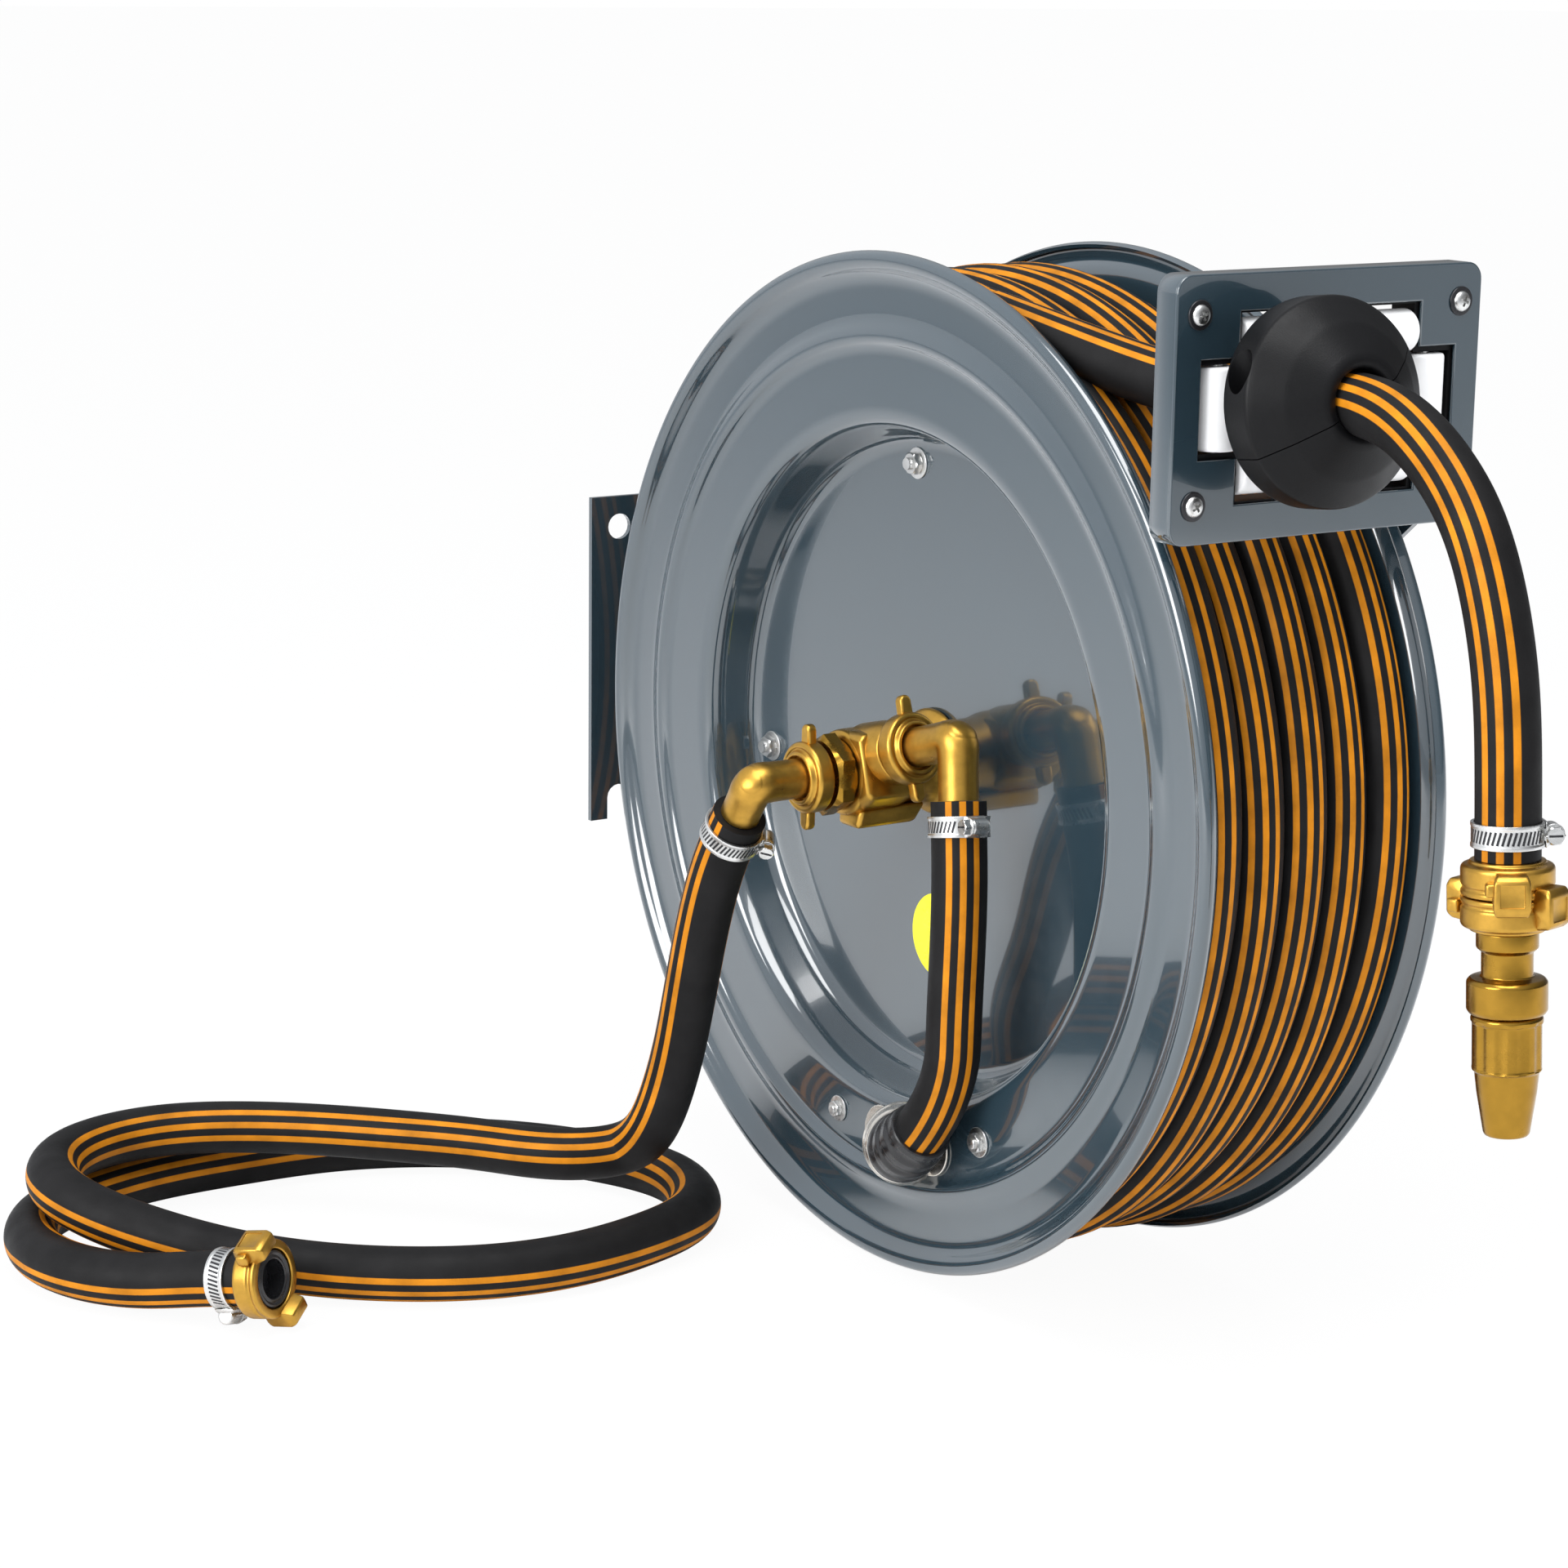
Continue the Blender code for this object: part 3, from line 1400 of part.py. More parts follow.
GROMMET_RADIUS = BOWL_RADIUS + 0.0217
ENTRY = spot_on_drum(GROMMET_RADIUS, GROMMET_ANGLE, -BAND_FACE - 0.0015)
entry_way = Vector((0.62, 0.76, -0.19)).normalized()
entry_start = ENTRY - entry_way * 0.0150
entry_end = ENTRY + entry_way * 0.0200
hose_top = OUTLET_CORNER + outlet_leg * (0.0290 + GAP)
fall_end = entry_start + Vector((-0.0045, -0.0453, 0.0650))
fall_way = Vector((-0.02, -0.02, -1)).normalized()
entry_bend = bend_between(fall_end, fall_way, entry_start, entry_way, (0.035, 0.022), 6)
fall = bend_between(hose_top + outlet_leg * DIAMETER, outlet_leg, fall_end, fall_way, (0.03, 0.03), 4)
connecting_points = [hose_top, *fall, *entry_bend[1:], entry_end]
tube("connecting_hose", connecting_points, HOSE_RADIUS, RUBBER, 2)
hose_clamp("connecting_clamp", hose_top + outlet_leg * 0.0120, outlet_leg, -AXIS_Y - AXIS_X * 0.1)

past_end = [*connecting_points[:-1], entry_end + entry_way * 0.0010]
flange_clearance = tube("flange_clearance", past_end, HOSE_RADIUS + 0.0014, None, 2, CUTTERS)
layer_clearance = tube("layer_clearance", past_end, HOSE_RADIUS + 0.0010, None, 2, CUTTERS)
grommet_clearance = tube("grommet_clearance", past_end, HOSE_RADIUS + 2 * GAP, None, 2, CUTTERS)
cut(front_flange, flange_clearance)
cut(hose_inner_layers, layer_clearance)

grommet_out = Vector((0, -math.cos(GROMMET_ANGLE), math.sin(GROMMET_ANGLE)))
grommet_along = AXIS_X.cross(grommet_out)


def curved_slot(half_length, half_width, points=7):
    """A slot shape with round ends, about its middle and bent round the drum."""
    straight = half_length - half_width
    right = arc_points((straight, 0), half_width, points, -math.pi / 2, math.pi)
    left = arc_points((-straight, 0), half_width, points, math.pi / 2, math.pi)
    middle = [(share * straight / 2, half_width) for share in (1, 0, -1)]
    under = [(-x, -y) for x, y in middle]
    outline = []
    for along, out in right + middle + left + under:
        radius = GROMMET_RADIUS + out
        angle = along / GROMMET_RADIUS
        outline.append((radius * math.sin(angle), radius * math.cos(angle) - GROMMET_RADIUS))
    return outline


RING_FACE = BAND_FACE + GAP
RING_THICKNESS = 0.0014
BOOT_THICKNESS = 0.0052
ring_half_width = HOSE_RADIUS + 0.0014
grommet_ring = plate(
    "grommet_ring",
    [curved_slot(0.0350, ring_half_width)],
    RING_THICKNESS,
    spot_on_drum(GROMMET_RADIUS, GROMMET_ANGLE, -RING_FACE - RING_THICKNESS / 2),
    grommet_along,
    grommet_out,
    STEEL,
)
cut(grommet_ring, grommet_clearance)
boot_x = -RING_FACE - RING_THICKNESS - GAP - BOOT_THICKNESS / 2
grommet_boot = plate(
    "grommet_boot",
    [curved_slot(0.0300, HOSE_RADIUS + 0.0030)],
    BOOT_THICKNESS,
    spot_on_drum(GROMMET_RADIUS, GROMMET_ANGLE, boot_x),
    grommet_along,
    grommet_out,
    BLACK,
)
cut(grommet_boot, grommet_clearance)

# ---------------------------------------------------------------------------------------------
# Supply hose: it drops from the inlet elbow, lies in one loop on the floor and ends in a coupling
# ---------------------------------------------------------------------------------------------

hose_start = INLET_CORNER + inlet_leg * (0.0210 + GAP)
DROP = [
    (0.0, 0.0270, -0.0401),
    (0.0, 0.0430, -0.0760),
    (0.0, 0.0560, -0.1184),
]
# Given from the inlet elbow, from the wall and from the floor
LOOP = [
    (-0.0010, -0.2086, 0.0843),
    (-0.0068, -0.2027, 0.0614),
    (-0.0127, -0.1832, 0.0435),
    (-0.0369, -0.1721, 0.0410),
    (-0.0655, -0.1388, 0.0408),
    (-0.0946, -0.1052, 0.0411),
    (-0.1257, -0.0746, 0.0413),
    (-0.1592, -0.0481, 0.0413),
    (-0.1973, -0.0315, 0.0413),
    (-0.2368, -0.0343, 0.0413),
    (-0.2680, -0.0583, 0.0410),
    (-0.2768, -0.0882, 0.0385),
    (-0.2678, -0.1147, 0.0330),
    (-0.2490, -0.1405, 0.0265),
    (-0.2213, -0.1684, 0.0195),
    (-0.1885, -0.1900, 0.0138),
    (-0.1544, -0.2177, 0.0135),
    (-0.1192, -0.2351, 0.0135),
    (-0.0775, -0.2417, 0.0135),
    (-0.0280, -0.2332, 0.0135),
    (0.0068, -0.2158, 0.0135),
    (0.0260, -0.1860, 0.0135),
    (0.0295, -0.1531, 0.0135),
    (0.0164, -0.1153, 0.0135),
    (-0.0110, -0.0764, 0.0135),
    (-0.0598, -0.0390, 0.0135),
    (-0.1007, -0.0240, 0.0135),
    (-0.1459, -0.0191, 0.0135),
    (-0.1924, -0.0191, 0.0135),
    (-0.2350, -0.0283, 0.0135),
    (-0.2674, -0.0454, 0.0135),
    (-0.2865, -0.0708, 0.0135),
    (-0.2935, -0.1051, 0.0135),
    (-0.2860, -0.1370, 0.0137),
    (-0.2671, -0.1660, 0.0155),
    (-0.2486, -0.1874, 0.0195),
    (-0.2340, -0.2091, 0.0237),
]
supply_route = [
    hose_start,
    *[INLET_CORNER + Vector(spot) for spot in DROP],
    *[Vector((INLET_CORNER.x + x, y, FLOOR_Z + z)) for x, y, z in LOOP],
]
supply_points = straight_out(smooth_route(supply_route, 0.040), inlet_leg)
tube("supply_hose", supply_points, HOSE_RADIUS, RUBBER, 2)
supply_way = (supply_points[-1] - supply_points[-2]).normalized()
hose_clamp("inlet_clamp", hose_start + inlet_leg * 0.0120, inlet_leg, CLAMP_TURN)
hose_clamp("supply_clamp", supply_points[-1] - supply_way * 0.0110, supply_way, -AXIS_Z - AXIS_Y * 0.5)
supply_coupling = claw_half("supply_coupling", supply_points[-1] + supply_way * GAP, supply_way, AXIS_Z, BRASS)
coupling_face = supply_points[-1] + supply_way * (GAP + COUPLING_LENGTH)
SEAL_DEPTH = 0.0036
seal_recess = rod(
    "seal_recess",
    coupling_face + supply_way * 0.002,
    coupling_face - supply_way * SEAL_DEPTH,
    0.0140,
    sides=20,
)
coupling_bore = rod(
    "coupling_bore",
    coupling_face + supply_way * 0.002,
    coupling_face - supply_way * 0.0105,
    0.0090,
    sides=20,
)
cut(supply_coupling, seal_recess, coupling_bore)
turned(
    "supply_seal",
    ring_profile(0.0092, 0.0140 * math.cos(math.pi / 20) - GAP, 0, SEAL_DEPTH),
    coupling_face - supply_way * (SEAL_DEPTH - GAP),
    supply_way,
    BLACK,
    20,
)

print("supply hose, m", route_length(supply_points))
print("outlet hose, m", route_length(outlet_points))
print("hose between drum and stop, m", route_length([lead_start, *lead_bend, lead_end]))
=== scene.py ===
"""Looks of a wall-mounted, spring-rewind water hose reel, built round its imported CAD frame. Metres."""

import math

import bmesh
import bpy
import numpy as np
from mathutils import Matrix, Vector


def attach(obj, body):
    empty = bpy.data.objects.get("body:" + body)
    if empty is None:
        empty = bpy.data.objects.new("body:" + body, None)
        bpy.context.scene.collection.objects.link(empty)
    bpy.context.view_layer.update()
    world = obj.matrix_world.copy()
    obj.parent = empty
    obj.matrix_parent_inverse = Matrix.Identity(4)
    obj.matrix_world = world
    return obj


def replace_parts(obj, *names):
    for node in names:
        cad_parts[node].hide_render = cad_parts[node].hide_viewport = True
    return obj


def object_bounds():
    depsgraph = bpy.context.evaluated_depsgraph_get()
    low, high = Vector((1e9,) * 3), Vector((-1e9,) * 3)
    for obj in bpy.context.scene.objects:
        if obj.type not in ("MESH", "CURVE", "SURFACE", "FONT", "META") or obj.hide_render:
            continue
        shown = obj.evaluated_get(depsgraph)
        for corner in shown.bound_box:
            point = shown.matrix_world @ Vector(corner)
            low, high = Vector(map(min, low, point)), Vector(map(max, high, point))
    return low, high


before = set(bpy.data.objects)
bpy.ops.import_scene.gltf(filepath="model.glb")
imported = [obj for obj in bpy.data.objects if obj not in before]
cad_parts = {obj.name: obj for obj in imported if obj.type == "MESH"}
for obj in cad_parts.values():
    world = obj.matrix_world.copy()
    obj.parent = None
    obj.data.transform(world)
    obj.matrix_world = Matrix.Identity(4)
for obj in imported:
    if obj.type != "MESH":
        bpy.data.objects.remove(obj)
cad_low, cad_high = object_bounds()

# ---------------------------------------------------------------------------------------------
# The studio: the camera stands in front and to the left of the reel, a little above it. A pale
# floor and soft lamps light it evenly, and the floor shows white to the camera.
# ---------------------------------------------------------------------------------------------

AXIS_X = Vector((1, 0, 0))
AXIS_Y = Vector((0, 1, 0))
AXIS_Z = Vector((0, 0, 1))
CAMERA_SPOT = Vector((-1.09380, -1.73481, 0.39149))
CAMERA_WAY = Vector((0.54079, 0.81200, -0.21956)).normalized()
CAMERA_ROLL = math.radians(0.819)
CAMERA_LENS = 85.9

level_side = CAMERA_WAY.cross(AXIS_Z).normalized()
level_top = level_side.cross(CAMERA_WAY)
camera_side = level_side * math.cos(CAMERA_ROLL) + level_top * math.sin(CAMERA_ROLL)
camera_top = level_top * math.cos(CAMERA_ROLL) - level_side * math.sin(CAMERA_ROLL)
camera = bpy.data.objects.new("camera", bpy.data.cameras.new("camera"))
bpy.context.scene.collection.objects.link(camera)
camera.matrix_world = Matrix.Translation(CAMERA_SPOT) @ Matrix(
    (camera_side, camera_top, -CAMERA_WAY)
).transposed().to_4x4()
camera.data.lens = CAMERA_LENS
camera.data.sensor_width = 36
camera.data.clip_start = 0.05
camera.data.clip_end = 100
bpy.context.scene.camera = camera
bpy.context.scene.view_settings.view_transform = "Standard"


def soft_lamp(name, spot, aim, size, power):
    """A large square lamp that points from its spot towards a point on the reel."""
    lamp = bpy.data.objects.new(name, bpy.data.lights.new(name, "AREA"))
    bpy.context.scene.collection.objects.link(lamp)
    lamp.data.size = size
    lamp.data.energy = power
    lamp.location = spot
    lamp.rotation_mode = "QUATERNION"
    lamp.rotation_quaternion = (Vector(aim) - Vector(spot)).to_track_quat("-Z", "Y")
    return lamp


REEL_Y = -0.280
reel_middle = (0, REEL_Y, 0)
soft_lamp("lamp_left", (-2.6, -0.7, 1.0), reel_middle, 1.5, 62)
fill_lamp = soft_lamp("lamp_right_front", (1.7, -2.1, 0.7), reel_middle, 1.1, 30)
fill_lamp.visible_glossy = False
soft_lamp("lamp_above", (-0.5, -0.9, 2.3), reel_middle, 1.5, 46)


def node_adder(tree):
    """A function that adds a node to a tree and sets its inputs."""

    def add(kind, inputs=None, **settings):
        node = tree.nodes.new(kind)
        for key, value in settings.items():
            setattr(node, key, value)
        for key, value in (inputs or {}).items():
            if isinstance(value, bpy.types.NodeSocket):
                tree.links.new(value, node.inputs[key])
            else:
                node.inputs[key].default_value = value
        return node

    return add


def new_nodes(owner):
    """An empty node tree and the function that adds nodes to it."""
    owner.node_tree.nodes.clear()
    return owner.node_tree, node_adder(owner.node_tree)


WHITE_IN_REFLECTIONS = 0.12
FLOOR_WHITENESS = 0.95

world = bpy.data.worlds.new("studio_air")
world.use_nodes = True
bpy.context.scene.world = world
tree, add = new_nodes(world)
air_path = add("ShaderNodeLightPath")
air_direct = add("ShaderNodeMath", {0: air_path.outputs["Is Camera Ray"], 1: air_path.outputs["Is Transmission Ray"]},
                 operation="MAXIMUM")
air_seen = add("ShaderNodeMath", {0: air_path.outputs["Is Glossy Ray"], 1: WHITE_IN_REFLECTIONS,
                                  2: air_direct.outputs[0]},
               operation="MULTIPLY_ADD")
air_way = add("ShaderNodeTexCoord").outputs["Generated"]
air_side = add("ShaderNodeVectorMath", {0: air_way, 1: (-0.79, 0.10, 0.60)}, operation="DOT_PRODUCT")
air_strength = add("ShaderNodeMapRange", {"Value": air_side.outputs["Value"], "From Min": -0.7, "From Max": 0.9,
                                          "To Min": 0.03, "To Max": 1.15}, interpolation_type="SMOOTHSTEP")
air_light = add("ShaderNodeBackground", {"Color": (0.92, 0.95, 1.0, 1), "Strength": air_strength.outputs[0]})
air_white = add("ShaderNodeBackground", {"Color": (1, 1, 1, 1), "Strength": 1.0})
air_mix = add("ShaderNodeMixShader", {0: air_seen.outputs[0], 1: air_light.outputs[0], 2: air_white.outputs[0]})
add("ShaderNodeOutputWorld", {"Surface": air_mix.outputs[0]})

FLOOR_HALF = 30
bm = bmesh.new()
bmesh.ops.create_grid(bm, x_segments=2, y_segments=2, size=FLOOR_HALF)
floor_mesh = bpy.data.meshes.new("floor")
bm.to_mesh(floor_mesh)
floor = bpy.data.objects.new("floor", floor_mesh)
bpy.context.scene.collection.objects.link(floor)
floor.location.z = cad_low.z - 0.0002
floor_paint = bpy.data.materials.new("studio_floor")
floor_paint.use_nodes = True
tree, add = new_nodes(floor_paint)
floor_path = add("ShaderNodeLightPath")
floor_cloud = add("ShaderNodeTexNoise", {"Scale": 0.8, "Detail": 2.0})
floor_tone = add("ShaderNodeMapRange", {"Value": floor_cloud.outputs["Fac"], "To Min": 0.80, "To Max": 0.86})
floor_color = add("ShaderNodeCombineColor", {i: floor_tone.outputs[0] for i in range(3)})
floor_matt = add("ShaderNodeBsdfDiffuse", {"Color": floor_color.outputs[0]})
floor_white = add("ShaderNodeEmission", {"Color": (1, 1, 1, 1), "Strength": 1.0})
floor_share = add("ShaderNodeMath", {0: floor_path.outputs["Is Camera Ray"], 1: FLOOR_WHITENESS},
                  operation="MULTIPLY")
floor_mix = add("ShaderNodeMixShader", {0: floor_share.outputs[0], 1: floor_matt.outputs[0],
                                        2: floor_white.outputs[0]})
add("ShaderNodeOutputMaterial", {"Surface": floor_mix.outputs[0]})
floor.data.materials.append(floor_paint)

# ---------------------------------------------------------------------------------------------
# Striped hose: black rubber, 27 mm across, with two groups of three orange stripes along it.
# Every run of hose is one smooth tube, and its stripes are placed by the tube's own map.
# ---------------------------------------------------------------------------------------------

HOSE_RADIUS = 0.0135
HOSE_AROUND = 2 * math.pi * HOSE_RADIUS
STRIPE_PITCH = 0.0070
STRIPE_WIDTH = 0.0032
HOSE_BLACK = (0.0075, 0.0072, 0.0075, 1)
HOSE_ORANGE = (0.46, 0.165, 0.006, 1)

surface_group = bpy.data.node_groups.new("Worn surface", "ShaderNodeTree")
for socket_name, socket_type in (
    ("Color", "NodeSocketColor"),
    ("Mottle", "NodeSocketFloat"),
    ("Mottle Scale", "NodeSocketFloat"),
    ("Smooth", "NodeSocketFloat"),
    ("Rough", "NodeSocketFloat"),
    ("Grain Scale", "NodeSocketFloat"),
    ("Grain Depth", "NodeSocketFloat"),
):
    surface_group.interface.new_socket(socket_name, in_out="INPUT", socket_type=socket_type)
for socket_name, socket_type in (
    ("Color", "NodeSocketColor"),
    ("Roughness", "NodeSocketFloat"),
    ("Normal", "NodeSocketVector"),
):
    surface_group.interface.new_socket(socket_name, in_out="OUTPUT", socket_type=socket_type)
group_node = node_adder(surface_group)
given = group_node("NodeGroupInput").outputs
place_on_piece = group_node("ShaderNodeTexCoord").outputs["Object"]
cloud = group_node("ShaderNodeTexNoise", {"Vector": place_on_piece, "Scale": given["Mottle Scale"], "Detail": 6.0})
grain = group_node("ShaderNodeTexNoise", {"Vector": place_on_piece, "Scale": given["Grain Scale"], "Detail": 3.0})
marks = group_node("ShaderNodeTexNoise", {"Vector": place_on_piece, "Scale": 55.0, "Detail": 8.0, "Roughness": 0.7})
cloud_tone = group_node("ShaderNodeMapRange", {"Value": cloud.outputs["Fac"], "From Min": 0.3, "From Max": 0.7,
                                               "To Min": -1.0, "To Max": 1.0})
tone = group_node("ShaderNodeMath", {0: cloud_tone.outputs[0], 1: given["Mottle"], 2: 1.0}, operation="MULTIPLY_ADD")
toned = group_node("ShaderNodeVectorMath", {0: given["Color"], "Scale": tone.outputs[0]}, operation="SCALE")
marks_tone = group_node("ShaderNodeMapRange", {"Value": marks.outputs["Fac"], "From Min": 0.32, "From Max": 0.68,
                                               "To Min": given["Smooth"], "To Max": given["Rough"]})
grain_bump = group_node("ShaderNodeBump", {"Height": grain.outputs["Fac"], "Distance": 0.0004,
                                           "Strength": given["Grain Depth"]})
group_node("NodeGroupOutput", {"Color": toned.outputs[0], "Roughness": marks_tone.outputs[0],
                               "Normal": grain_bump.outputs[0]})


def finish(name, color, mottle, mottle_scale, smooth, rough, grain_scale, grain_depth, **plain):
    """A material with the shared surface on it. Plain values go straight on the shader's sockets."""
    made = bpy.data.materials.new(name)
    made.use_nodes = True
    tree, add = new_nodes(made)
    worn = add(
        "ShaderNodeGroup",
        {"Color": color, "Mottle": mottle, "Mottle Scale": mottle_scale, "Smooth": smooth, "Rough": rough,
         "Grain Scale": grain_scale, "Grain Depth": grain_depth},
        node_tree=surface_group,
    )
    shader = add("ShaderNodeBsdfPrincipled", {"Base Color": worn.outputs["Color"],
                                              "Roughness": worn.outputs["Roughness"],
                                              "Normal": worn.outputs["Normal"]})
    for key, value in plain.items():
        shader.inputs[key.replace("_", " ")].default_value = value
    add("ShaderNodeOutputMaterial", {"Surface": shader.outputs[0]})
    return made


def striped_rubber():
    """Black rubber with orange stripes, read from the hose's map: across is round it, up is along it."""
    made = finish("striped_rubber", HOSE_BLACK, 0.25, 60.0, 0.50, 0.66, 1600.0, 0.10, Specular_IOR_Level=0.13)
    tree = made.node_tree
    worn = next(node for node in tree.nodes if node.type == "GROUP")

    add_node = node_adder(tree)

    def add(kind, inputs, **settings):
        return add_node(kind, inputs, **settings).outputs[0]

    hose_map = tree.nodes.new("ShaderNodeUVMap")
    hose_map.uv_map = "hose_map"
    across = add("ShaderNodeSeparateXYZ", {0: hose_map.outputs[0]})
    twice = add("ShaderNodeMath", {0: across, 1: 2.0}, operation="MULTIPLY")
    half_turn = add("ShaderNodeMath", {0: twice}, operation="FRACT")
    from_middle = add("ShaderNodeMath", {0: half_turn, 1: 0.5}, operation="SUBTRACT")
    one_side = add("ShaderNodeMath", {0: from_middle}, operation="ABSOLUTE")
    metres = add("ShaderNodeMath", {0: one_side, 1: HOSE_AROUND / 2}, operation="MULTIPLY")
    to_stripe = add("ShaderNodeMath", {0: metres, 1: STRIPE_PITCH / 2}, operation="PINGPONG")
    line = add("ShaderNodeMapRange", {"Value": to_stripe, "From Min": STRIPE_WIDTH / 2 + 0.00015,
                                      "From Max": STRIPE_WIDTH / 2 - 0.00015})
    in_group = add("ShaderNodeMath", {0: metres, 1: STRIPE_PITCH * 1.5}, operation="LESS_THAN")
    mask = add("ShaderNodeMath", {0: line, 1: in_group}, operation="MULTIPLY")
    mix = tree.nodes.new("ShaderNodeMix")
    mix.data_type = "RGBA"
    tree.links.new(mask, mix.inputs["Factor"])
    mix.inputs[6].default_value = HOSE_BLACK
    mix.inputs[7].default_value = HOSE_ORANGE
    tree.links.new(mix.outputs[2], worn.inputs["Color"])
    return made


RUBBER = striped_rubber()


def add_piece(name, mesh, material, angle=35):
    """Links a mesh as a piece of the reel, smooth where its faces meet at a shallow angle."""
    made = bpy.data.objects.new(name, mesh)
    bpy.context.scene.collection.objects.link(made)
    if material:
        mesh.materials.append(material)
    mesh.shade_smooth()
    mesh.set_sharp_from_angle(angle=math.radians(angle))
    return made


def built_piece(bm, name, material, angle=35):
    """Turns the faces of a built mesh outwards and adds it as a piece."""
    bmesh.ops.recalc_face_normals(bm, faces=bm.faces)
    mesh = bpy.data.meshes.new(name)
    bm.to_mesh(mesh)
    return add_piece(name, mesh, material, angle)


def join_rings(bm, rings):
    """Faces between each ring of corners and the next. A corner that both rings share is used once."""
    for ring, after in zip(rings, rings[1:]):
        for k in range(len(ring)):
            corners = [ring[k], ring[(k + 1) % len(ring)], after[(k + 1) % len(ring)], after[k]]
            corners = [v for i, v in enumerate(corners) if v not in corners[:i]]
            if len(corners) > 2:
                bm.faces.new(corners)


def spline_route(points, step):
    """Even points along the natural cubic spline through a route's own points."""
    points = np.array([tuple(p) for p in points])
    gaps = np.linalg.norm(np.diff(points, axis=0), axis=1)
    count = len(points)
    system = np.eye(count)
    right = np.zeros((count, 3))
    for i in range(1, count - 1):
        system[i, i - 1 : i + 2] = (gaps[i - 1], 2 * (gaps[i - 1] + gaps[i]), gaps[i])
        right[i] = 6 * ((points[i + 1] - points[i]) / gaps[i] - (points[i] - points[i - 1]) / gaps[i - 1])
    bends = np.linalg.solve(system, right)
    fine = []
    for i, gap in enumerate(gaps):
        for t in np.linspace(0, gap, 40, endpoint=i == count - 2):
            rest = gap - t
            spot = (bends[i] * rest**3 + bends[i + 1] * t**3) / (6 * gap)
            spot = spot + (points[i] / gap - bends[i] * gap / 6) * rest
            fine.append(spot + (points[i + 1] / gap - bends[i + 1] * gap / 6) * t)
    return even_points(fine, step)


def even_points(line, step):
    """Points at even steps along a line of short pieces, both its ends among them."""
    line = np.array([tuple(p) for p in line])
    along = np.concatenate([[0], np.cumsum(np.linalg.norm(np.diff(line, axis=0), axis=1))])
    stops = np.linspace(0, along[-1], max(2, round(along[-1] / step) + 1))
    return [Vector([np.interp(s, along, line[:, k]) for k in range(3)]) for s in stops]


def route_length(points):
    return sum((q - p).length for p, q in zip(points, points[1:]))


def bend_between(start, start_way, end, end_way, reach, count):
    """Points along one smooth bend that leaves and arrives in the given directions."""
    pull_a = start + start_way * reach[0]
    pull_b = end - end_way * reach[1]
    points = []
    for i in range(count):
        t = i / (count - 1)
        a = start.lerp(pull_a, t)
        b = pull_a.lerp(pull_b, t)
        c = pull_b.lerp(end, t)
        points.append(a.lerp(b, t).lerp(b.lerp(c, t), t))
    return points


def swept(name, points, radii, material, first_side, sides=40, turns=((0, 0), (1, 0)), squeeze=((0, 1), (1, 1))):
    """A tube along a line. Its map starts at first_side and drifts round as turns says, by share of length.
    squeeze narrows it across first_side, also by share of length."""
    ways = [(q - p).normalized() for p, q in zip(points, points[1:])]
    ways = [ways[0], *[(a + b).normalized() for a, b in zip(ways, ways[1:])], ways[-1]]
    side = Vector(first_side)
    sides_along = []
    for way in ways:
        side = (side - way * way.dot(side)).normalized()
        sides_along.append(side.copy())
    along = [0.0]
    for p, q in zip(points, points[1:]):
        along.append(along[-1] + (q - p).length)
    bm = bmesh.new()
    rings = []
    for i, (point, way, side) in enumerate(zip(points, ways, sides_along)):
        turn = 2 * math.pi * np.interp(along[i] / along[-1], *zip(*turns))
        narrow = np.interp(along[i] / along[-1], *zip(*squeeze))
        up = way.cross(side)
        radius = radii[i] if hasattr(radii, "__len__") else radii
        ring = []
        for k in range(sides):
            angle = turn + 2 * math.pi * k / sides
            ring.append(bm.verts.new(point + (side * math.cos(angle) + up * math.sin(angle) * narrow) * radius))
        rings.append(ring)
    layer = bm.loops.layers.uv.new("hose_map")
    for i, (ring, after) in enumerate(zip(rings, rings[1:])):
        for k in range(sides):
            face = bm.faces.new((ring[k], ring[(k + 1) % sides], after[(k + 1) % sides], after[k]))
            spots = ((k, i), (k + 1, i), (k + 1, i + 1), (k, i + 1))
            for loop, (round_step, along_step) in zip(face.loops, spots):
                # Stripes sit in the middle of each half turn, so the first side is the middle of a group
                loop[layer].uv = (round_step / sides + 0.25, along[along_step] / HOSE_AROUND)
    bm.faces.new(rings[0][::-1])
    bm.faces.new(rings[-1])
    return built_piece(bm, name, material)

# ---------------------------------------------------------------------------------------------
# Supply hose: it drops from the inlet elbow, lies in one loop on the floor and ends in a coupling.
# It is a free hose, cut to length and pushed on its barbs, with a clamp at each end.
# ---------------------------------------------------------------------------------------------

INLET_CORNER = Vector((-0.1422, REEL_Y, 0))
inlet_leg = Vector((0, 0.56, -0.83)).normalized()
FLOOR_Z = -0.250
